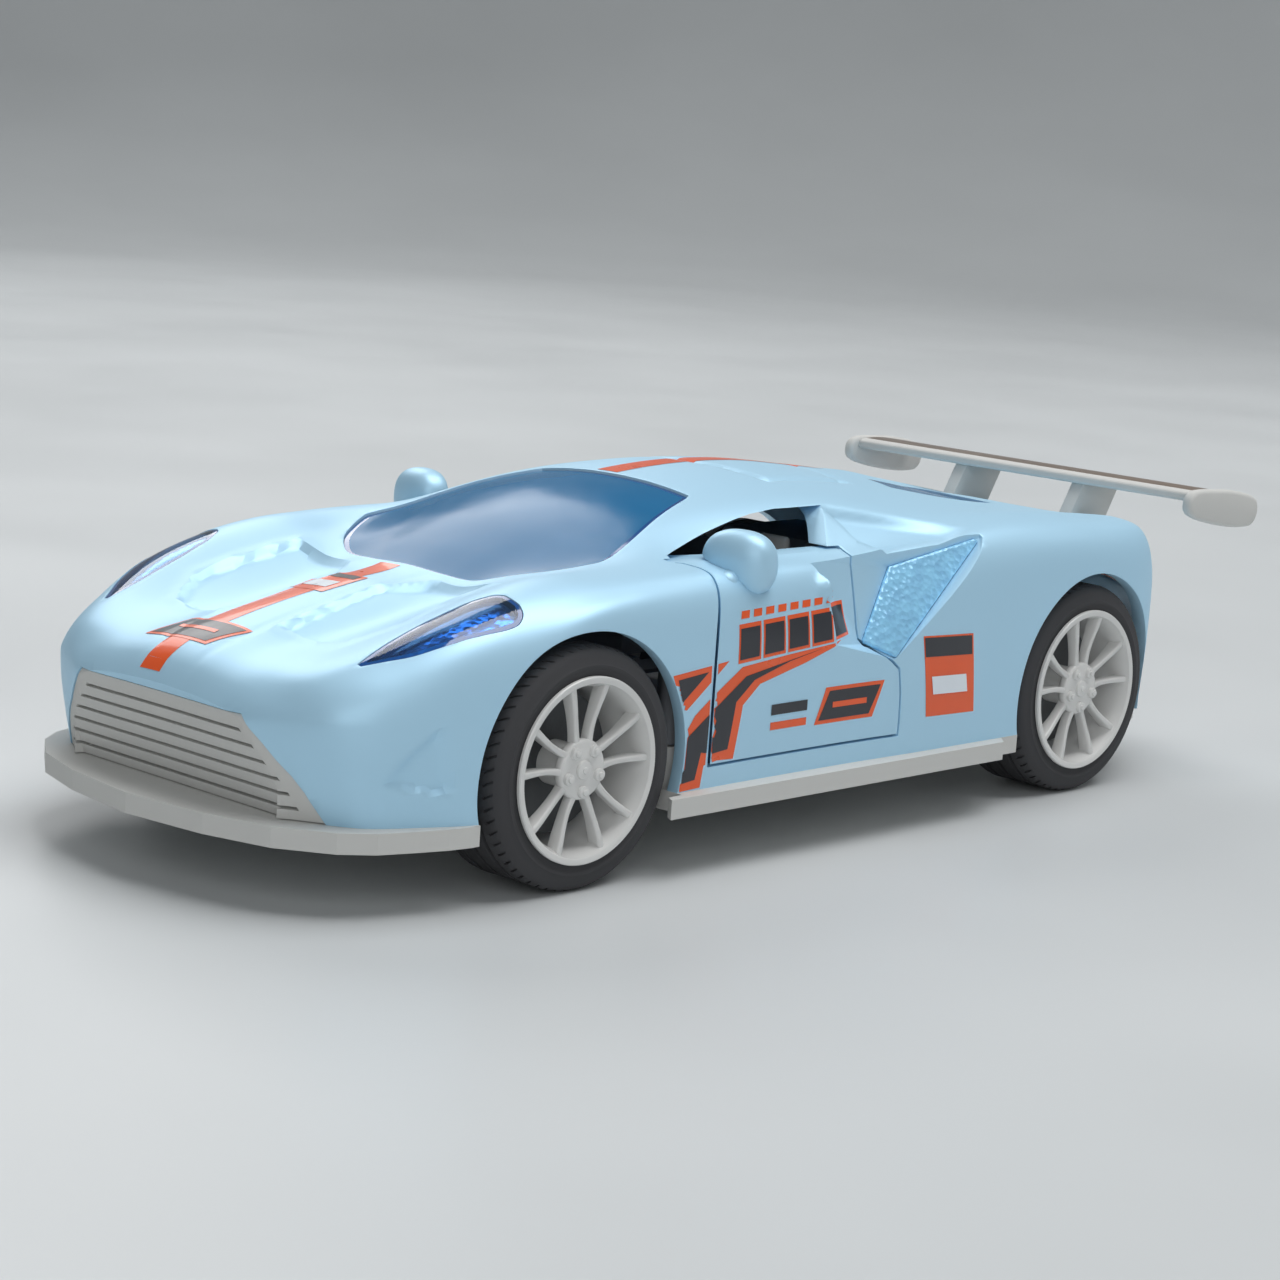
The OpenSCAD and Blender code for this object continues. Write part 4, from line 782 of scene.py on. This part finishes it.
class CarWheelOperator(bpy.types.Operator):
    """Makes the four twin-spoke rims and the four treaded tyres"""
    bl_idname = "racecar.wheels"
    bl_label = "Wheels"

    def execute(self, context):
        w = context.scene.car_wheel
        m = mats()
        face_x, x1, x0, rim_r, tyre_r = 28.2, 27.8, 18.2, 9.0, 12.0

        def spun(profile, steps):
            bm = bmesh.new()
            verts = [bm.verts.new((x, 0, r)) for r, x in profile]
            edges = [bm.edges.new((verts[i], verts[(i + 1) % len(verts)])) for i in range(len(verts))]
            bmesh.ops.spin(bm, geom=verts + edges, cent=(0, 0, 0), axis=(1, 0, 0), angle=math.tau, steps=steps, use_merge=True)
            bmesh.ops.remove_doubles(bm, verts=bm.verts, dist=1e-4)
            bmesh.ops.recalc_face_normals(bm, faces=bm.faces)
            return temp(bm)

        barrel = spun([(rim_r - 0.95, x0), (rim_r, x0), (rim_r, x1), (rim_r + 0.2, x1), (rim_r + 0.2, face_x - 0.12),
                       (rim_r + 0.1, face_x), (rim_r - 0.35, face_x), (rim_r - 0.5, face_x - 0.1), (rim_r - 0.62, face_x - 0.5),
                       (rim_r - 0.95, face_x - 1.2)], w.steps)
        parts = [barrel]
        for i in range(w.spokes):
            for s in (-1, 1):
                reach = curve_through([(0.35, 1.2), (0.62, 3.4), (1.15, 5.6), (1.95, 8.3)], 5, closed=False)
                edge = curve_through([(1.2, 1.2), (1.3, 3.4), (1.78, 5.6), (2.75, 8.3)], 5, closed=False)
                bar = prism([(s * a, b) for a, b in reach] + [(s * a, b) for a, b in reversed(edge)], "x", face_x - 2.1, face_x - 0.75)
                for v in bar.data.vertices:
                    if v.co.x > face_x - 1.5:
                        v.co.x += 0.5 * smooth((v.co.z - 3.5) / 5.0) - 0.15
                rounded(bar, 0.22, 3, 50)
                bar.data.transform(Matrix.Rotation(math.tau * i / w.spokes, 4, "X"))
                parts.append(bar)
            bolt = joined(rounded(rod("x", (face_x - 0.75, 0, 0), 0.62, 0.7, 24), 0.1),
                          rounded(rod("x", (face_x - 0.4, 0, 0), 0.34, 0.5, 16), 0.08))
            bolt.data.transform(Matrix.Rotation(math.tau * (i + 0.5) / w.spokes, 4, "X") @ Matrix.Translation((0, 0, 2.15)))
            parts.append(bolt)
        parts.append(rounded(rod("x", (face_x - 1.35, 0, 0), 3.0, 1.1, 64), 0.35, 3))
        parts.append(rounded(rod("x", ((x0 + 2.6 + face_x - 1.4) / 2, 0, 0), 2.2, face_x - 1.4 - x0 - 2.6, 48), 0.1))
        parts.append(rounded(rod("x", (face_x - 0.75, 0, 0), 0.95, 0.5, 48), 0.18, 2))
        parts.append(rounded(rod("x", (face_x - 0.5, 0, 0), 0.35, 0.3, 24), 0.08, 2))
        rim = joined(*parts)

        def shoulder(x, out):
            return [(tyre_r - 2.2, x), (tyre_r - 2.0, x + out * 0.12), (tyre_r - 1.75, x + out * 0.12), (tyre_r - 1.6, x),
                    (tyre_r - 0.95, x - out * 0.05), (tyre_r - 0.5, x - out * 0.25), (tyre_r - 0.2, x - out * 0.6), (tyre_r, x - out * 1.1)]

        tread = []
        for c in (22.9, 25.1):
            tread += [(tyre_r, c - 0.28), (tyre_r - 0.4, c - 0.22), (tyre_r - 0.4, c + 0.22), (tyre_r, c + 0.28)]
        tread = [(tyre_r, 20.4), (tyre_r - 0.35, 20.46), (tyre_r - 0.35, 20.8), (tyre_r, 20.86)] + tread
        profile = ([(rim_r + 0.02, x0), *shoulder(x0, -1), *tread, *reversed(shoulder(x1, 1)), (rim_r + 0.7, x1 - 0.05), (rim_r + 0.02, x1 - 0.15)])
        tyre = spun(profile, w.steps)
        notches = []
        for i in range(w.grooves):
            for c, tilt in ((x1 - 0.9, 1), (x0 + 0.9, -1)):
                n = block((c - 0.9, -0.12, tyre_r - 0.26), (c + 0.9, 0.12, tyre_r + 0.6))
                lean = Matrix.Rotation(tilt * 0.5, 4, "Z")
                n.data.transform(Matrix.Translation((c, 0, 0)) @ lean @ Matrix.Translation((-c, 0, 0)))
                n.data.transform(Matrix.Rotation(math.tau * i / w.grooves, 4, "X"))
                notches.append(n)
        cut(tyre, joined(*notches))
        for end, y in (("front", FRONT_Y), ("rear", REAR_Y)):
            for side, s in SIDES:
                for kind, ob, mat, slot_name in (("rim", rim, "rim", "rim_silver"), ("tyre", tyre, "rubber", "tyre_rubber")):
                    piece = copy_of(ob) if s > 0 else mirrored(ob)
                    piece.data.transform(Matrix.Translation((0, y, WHEEL_Z)))
                    done(piece, f"{end}_{kind}_{side}_cast", f"{end}_wheels", m[mat], [f"{end}_{kind}_{side}"])
        drop(rim, tyre)
        return {"FINISHED"}


class CarSeatOperator(bpy.types.Operator):
    """Makes the two moulded seats"""
    bl_idname = "racecar.seats"
    bl_label = "Seats"

    def execute(self, context):
        m = mats()
        base = 11.4
        cushion = rounded(hull([(x, y, z) for x, y, z in ((4.9, -9.5, base + 0.5), (15.1, -9.5, base + 0.5), (4.9, 0.4, base + 0.5),
                                (15.1, 0.4, base + 0.5), (5.5, -9.0, base + 2.6), (14.5, -9.0, base + 2.6), (5.5, 0, base + 2.6),
                                (14.5, 0, base + 2.6))], 0.5), 0.1)
        back = hull([(5.2, -1.0, base + 2.4), (14.8, -1.0, base + 2.4), (5.2, 0.6, base + 2.4), (14.8, 0.6, base + 2.4),
                     (5.9, 4.1, base + 14.4), (14.1, 4.1, base + 14.4), (6.2, 5.1, base + 14.2), (13.8, 5.1, base + 14.2)], 0.5)
        groove = [hull([(10 + s * 2.4, -2.2, base + 4), (10 + s * 1.9, 3.6, base + 15.5)], 0.42) for s in (-1, 1)]
        cut(back, *groove)
        head = hull([(7.9, 4.3, base + 15.2), (12.1, 4.3, base + 15.2), (8.4, 5.2, base + 17.5), (11.6, 5.2, base + 17.5),
                     (8.2, 5.2, base + 15.2), (11.8, 5.2, base + 15.2)], 0.5)
        seat = joined(cushion, back, head)
        for side, s in SIDES:
            piece = copy_of(seat) if s > 0 else mirrored(seat)
            done(piece, f"seat_shell_{side}", "root", m["seat"], [f"seat_{side}"], angle=50)
        drop(seat)
        return {"FINISHED"}


NODE_SURFACES = {
    "rear_diffuser": "grey", "chassis": "grey", "chassis_screws": "steel", "interior_tub": "cabin", "dashboard": "cabin",
    "steering_wheel": "cabin", "motor_case_left": "motor", "motor_case_right": "motor", "idler_pin": "steel", "barrel_pin": "steel",
    "idler_gear": "gear", "barrel_gear": "gear", "mainspring": "spring", "door_arm_left": "motor", "door_arm_right": "motor",
    "door_pin_left": "steel", "door_pin_right": "steel", "front_axle": "steel", "rear_axle": "steel", "rear_pinion": "gear",
    "front_disc_left": "disc", "front_disc_right": "disc", "rear_disc_left": "disc", "rear_disc_right": "disc",
}


class CarChassisOperator(bpy.types.Operator):
    """Finishes the chassis, the cabin, the motor and the running gear"""
    bl_idname = "racecar.chassis"
    bl_label = "Chassis and running gear"

    def execute(self, context):
        m = mats()
        for node, key in NODE_SURFACES.items():
            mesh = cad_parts[node].data
            mesh.materials.clear()
            mesh.materials.append(m[key])
        return {"FINISHED"}


# ---- printed graphics -----------------------------------------------------

def patch(outline, view, target, lift, start=None, stop=None, fine=0.7):
    """A thin printed layer: an outline divided finely and laid on the target along X or down Z, between two cut lines."""
    bm = bmesh.new()
    bm.faces.new([bm.verts.new((float(u), float(v), 0)) for u, v in outline])
    for line, side in ((start, -1), (stop, 1)):
        if line is not None:
            bmesh.ops.bisect_plane(bm, geom=bm.verts[:] + bm.edges[:] + bm.faces[:], dist=1e-5, plane_co=(line, 0, 0),
                                   plane_no=(side, 0, 0), clear_outer=True)
    bmesh.ops.triangulate(bm, faces=bm.faces)
    for _ in range(8):
        long = [e for e in bm.edges if e.calc_length() > fine]
        if not long:
            break
        bmesh.ops.subdivide_edges(bm, edges=long, cuts=1)
        bmesh.ops.triangulate(bm, faces=bm.faces)
    missed = []
    for v in bm.verts:
        if view == "z":
            hit, normal, _, _ = target.ray_cast(Vector((v.co.x, v.co.y, 80)), Vector((0, 0, -1)))
        else:
            hit, normal, _, _ = target.ray_cast(Vector((view * 80, v.co.x, v.co.y)), Vector((-view, 0, 0)))
        if hit is None or (view != "z" and abs(hit.x) < 22) or (view == "z" and hit.z < 17):
            missed.append(v)
        else:
            v.co = hit + normal * lift
    bmesh.ops.delete(bm, geom=missed, context="VERTS")
    want = Vector((0, 0, 1)) if view == "z" else Vector((view, 0, 0))
    for f in bm.faces:
        f.normal_update()
        if f.normal.dot(want) < 0:
            f.normal_flip()
    return temp(bm)


def bar(a, b, width):
    """Outline of a straight stroke."""
    a, b = np.array(a, float), np.array(b, float)
    d = (b - a) / np.linalg.norm(b - a)
    n = np.array([-d[1], d[0]]) * width / 2
    return [tuple(a - n), tuple(b - n), tuple(b + n), tuple(a + n)]


def lozenge(cu, cv, ru, rv, lean=0.8):
    """Leaning four-sided outline."""
    return [(cu - ru - lean, cv - rv), (cu + ru - lean, cv - rv), (cu + ru + lean, cv + rv), (cu - ru + lean, cv + rv)]


SHUT_Y = -23.4
# Side graphics as (layer, colour, outline in y and z)
SIDE_PRINT = [
    (1, "orange", [(-29.5, 20.2), (-21.1, 20.9), (-27.7, 16.2)]),
    (2, "dark", [(-28.7, 19.7), (-24.2, 20.1), (-27.9, 17.4)]),
    (1, "orange", [(-27.2, 14.2), (-25.9, 15.9), (-23.8, 17.3), (-19.0, 20.1), (-11.6, 20.7), (-2.7, 21.3), (-9.2, 19.6),
                   (-16.2, 18.1), (-18.7, 16.2), (-19.6, 10.8), (-22.1, 10.9), (-24.0, 10.6), (-24.3, 8.4), (-27.3, 8.3)]),
    (2, "dark", [(-27.1, 13.6), (-23.6, 15.9), (-18.4, 19.1), (-6.0, 20.9), (-11.6, 20.0), (-17.1, 18.6), (-19.8, 16.6),
                 (-20.6, 11.9), (-22.9, 11.7), (-24.6, 12.0), (-25.2, 9.3), (-27.1, 9.1)]),
]
# Top graphics on the bonnet and the roof as (layer, colour, convex outline in x and y)
STRIPE_X = (-3.2, -0.2)
TOP_PRINT = [
    (1, "orange", [(STRIPE_X[0], -70.0), (STRIPE_X[1], -70.0), (STRIPE_X[1], -40.2), (STRIPE_X[0], -40.2)]),
    (2, "orange", lozenge(-1.7, -64.3, 4.6, 2.2)),
    (3, "dark", lozenge(-1.7, -64.3, 4.1, 1.8)),
    (4, "orange", bar((-4.4, -64.3), (1.0, -64.3), 0.6)),
    (2, "orange", [(-7.6, -51.4), (0.9, -51.4), (0.9, -45.4), (-7.6, -45.4)]),
    (3, "dark", [(-6.9, -46.9), (0.3, -46.9), (0.3, -45.7), (-6.9, -45.7)]),
    (3, "white", [(-6.8, -50.2), (0.0, -50.2), (0.0, -48.2), (-6.8, -48.2)]),
    (1, "orange", [(STRIPE_X[0], -9.6), (STRIPE_X[1], -9.6), (STRIPE_X[1], 25.2), (STRIPE_X[0], 25.2)]),
]


def side_blocks():
    """Slanted blocks, dashes, a lozenge and the plain panel of the flank."""
    out = []
    a, b, c, d = (np.array(p) for p in ((-19.6, 24.2), (-0.9, 24.9), (-0.6, 21.9), (-19.5, 20.8)))

    def quad(u0, u1, v0, v1):
        at = lambda u, v: tuple((d * (1 - u) + c * u) * (1 - v) + (a * (1 - u) + b * u) * v)
        return [at(u0, v0), at(u1, v0), at(u1 + 0.012, v1), at(u0 + 0.012, v1)]

    widths = (0.16,) * 5
    u = 0.0
    for i, w in enumerate(widths):
        out.append((1, "orange", quad(u - 0.012, u + w + 0.014, -0.1, 1.05)))
        out.append((2, "dark", quad(u, u + w, 0, 0.92)))
        u += w + 0.045
    for i in range(9):
        u = 0.02 + i * 0.105
        out.append((1, "orange", quad(u, u + 0.07, 1.2, 1.42)))
    out += [(1, "orange", lozenge(-1.9, 14.8, 4.6, 1.9)), (2, "dark", lozenge(-1.9, 14.8, 4.0, 1.5)),
            (3, "orange", bar((-4.6, 14.8), (0.8, 14.8), 0.6))]
    out += [(2, "dark", bar((-14.2, 15.2), (-8.6, 15.2), 1.1)), (1, "orange", bar((-14.2, 13.5), (-8.6, 13.5), 0.8))]
    out += [(1, "orange", [(9.3, 20.9), (17.6, 20.6), (19.0, 11.8), (10.7, 12.0)]),
            (2, "dark", [(9.5, 20.7), (17.4, 20.4), (17.7, 18.3), (9.8, 18.6)]),
            (3, "white", [(11.0, 16.4), (16.9, 16.2), (17.4, 14.2), (11.5, 14.4)])]
    return out


class CarGraphicsOperator(bpy.types.Operator):
    """Lays the printed stripes, blocks and badges on the paint"""
    bl_idname = "racecar.graphics"
    bl_label = "Printed graphics"

    def execute(self, context):
        m = mats()
        lift = context.scene.car_trim.print_lift

        def skin(name):
            ob = copy_of(bpy.data.objects[name])
            ob.data.transform(Matrix.Translation((0, -CENTRE_Y, 0)) @ Matrix.Scale(1000, 4))
            made = tree(ob)
            drop(ob)
            return made

        shell = skin("body_shell_paint")
        doors = {s: skin(f"door_{side}_paint") for side, s in SIDES}
        piles = {}

        def lay(key, body, colour, made):
            if len(made.data.polygons) == 0:
                drop(made)
            else:
                piles.setdefault((key, body, colour), []).append(made)

        for layer, colour, outline in TOP_PRINT:
            lay("top", "root", colour, patch(outline, "z", shell, layer * lift))
        for side, s in SIDES:
            for layer, colour, outline in SIDE_PRINT + side_blocks():
                us = [u for u, _ in outline]
                if min(us) < SHUT_Y - 0.35:
                    lay(side, "root", colour, patch(outline, s, shell, layer * lift, stop=SHUT_Y - 0.35))
                if min(us) > 6.5:
                    lay(side, "root", colour, patch(outline, s, shell, layer * lift))
                elif max(us) > SHUT_Y + 0.05:
                    lay(side, f"{side}_door", colour, patch(outline, s, doors[s], layer * lift, start=SHUT_Y + 0.05))
        for (key, body, colour), obs in piles.items():
            ob = joined(*obs)
            done(ob, f"print_{colour}_{key}_{'door' if body != 'root' else 'shell'}", body, m[colour], angle=60)
        return {"FINISHED"}


# ---- stage ----------------------------------------------------------------

class CarStageOperator(bpy.types.Operator):
    """Sets up the pale floor, the soft lights and the camera"""
    bl_idname = "racecar.stage"
    bl_label = "Stage"

    def execute(self, context):
        s = context.scene.car_stage
        bm = bmesh.new()
        bmesh.ops.create_circle(bm, cap_ends=True, segments=96, radius=0.9)
        rim = [e for e in bm.edges if e.is_boundary]
        for k in range(1, 13):
            made = bmesh.ops.extrude_edge_only(bm, edges=rim)["geom"]
            a, b = math.pi / 2 * (k - 1) / 12, math.pi / 2 * k / 12
            r0, r1 = 0.9 + 0.6 * math.sin(a), 0.9 + 0.6 * math.sin(b)
            verts = [g for g in made if isinstance(g, bmesh.types.BMVert)]
            bmesh.ops.scale(bm, verts=verts, vec=(r1 / r0, r1 / r0, 1))
            bmesh.ops.translate(bm, verts=verts, vec=(0, 0, 0.6 * (math.cos(a) - math.cos(b))))
            rim = [g for g in made if isinstance(g, bmesh.types.BMEdge)]
        bmesh.ops.recalc_face_normals(bm, faces=bm.faces)
        floor = temp(bm)
        floor.name = floor.data.name = "floor"
        if floor.data.polygons[0].normal.z < 0:
            floor.data.flip_normals()
        for p in floor.data.polygons:
            p.use_smooth = True
        floor.data.materials.append(material("floor_grey", s.floor, 0.42, vary=0.035, scale=7, grain=400, bump=0.02))
        world = bpy.data.worlds.new("surround")
        world.use_nodes = True
        world.node_tree.nodes["Background"].inputs["Color"].default_value = (0.93, 0.97, 1.0, 1)
        world.node_tree.nodes["Background"].inputs["Strength"].default_value = s.world
        context.scene.world = world
        context.scene.view_settings.view_transform = "Standard"
        for name, power, size, at, aim in (("key_light", s.key, 0.7, (0.15, 0.25, 0.95), (0, 0, 0.02)),
                                           ("fill_light", s.key * 0.35, 0.8, (0.75, -0.75, 0.55), (0, 0, 0.02)),
                                           ("rim_light", s.key * 0.3, 0.5, (-0.7, 0.3, 0.6), (0, 0, 0.02))):
            data = bpy.data.lights.new(name, "AREA")
            data.energy, data.size = power, size
            lamp = bpy.data.objects.new(name, data)
            lamp.location = at
            lamp.rotation_euler = (Vector(aim) - Vector(at)).to_track_quat("-Z", "Y").to_euler()
            context.scene.collection.objects.link(lamp)
        data = bpy.data.cameras.new("camera")
        data.lens, data.sensor_width = s.lens, 36
        data.clip_start, data.clip_end = 0.01, 10
        data.dof.use_dof = False
        camera = bpy.data.objects.new("camera", data)
        right = Vector((0.7213, 0.6896, 0.0650))
        up = Vector((-0.1690, 0.0842, 0.9820))
        back = Vector((0.6717, -0.7193, 0.1772))
        place = Matrix.Translation((0.2236, -0.2439 + CENTRE_Y / 1000, 0.0758))
        camera.matrix_world = place @ Matrix((right, up, back)).transposed().to_4x4()
        context.scene.collection.objects.link(camera)
        context.scene.camera = camera
        return {"FINISHED"}


STEPS = (CarBodyOperator, CarGlassOperator, CarNoseTailOperator, CarWingOperator, CarMirrorOperator, CarWheelOperator,
         CarSeatOperator, CarChassisOperator, CarGraphicsOperator, CarStageOperator)


class CarPanel(bpy.types.Panel):
    """Lists the steps of the car and their settings"""
    bl_idname = "VIEW3D_PT_race_car"
    bl_label = "Race car"
    bl_space_type = "VIEW_3D"
    bl_region_type = "UI"
    bl_category = "Race car"

    def draw(self, context):
        layout = self.layout
        for step in STEPS:
            layout.operator(step.bl_idname)
        for key in GROUPS:
            box = layout.box()
            group = getattr(context.scene, key)
            for item in group.bl_rna.properties:
                if item.identifier not in ("rna_type", "name"):
                    box.prop(group, item.identifier)


GROUPS = {
    "car_body": CarBodySettings, "car_trim": CarTrimSettings, "car_wheel": CarWheelSettings, "car_stage": CarStageSettings,
}
CLASSES = (*GROUPS.values(), *STEPS, CarPanel)


def register():
    for cls in CLASSES:
        bpy.utils.register_class(cls)
    for key, group in GROUPS.items():
        setattr(bpy.types.Scene, key, PointerProperty(type=group))


def unregister():
    for key in GROUPS:
        delattr(bpy.types.Scene, key)
    for cls in reversed(CLASSES):
        bpy.utils.unregister_class(cls)


def main():
    register()
    for step in STEPS:
        area, name = step.bl_idname.split(".")
        if getattr(getattr(bpy.ops, area), name)() != {"FINISHED"}:
            raise RuntimeError(f"step {name} did not finish")


if __name__ == "__main__":
    main()
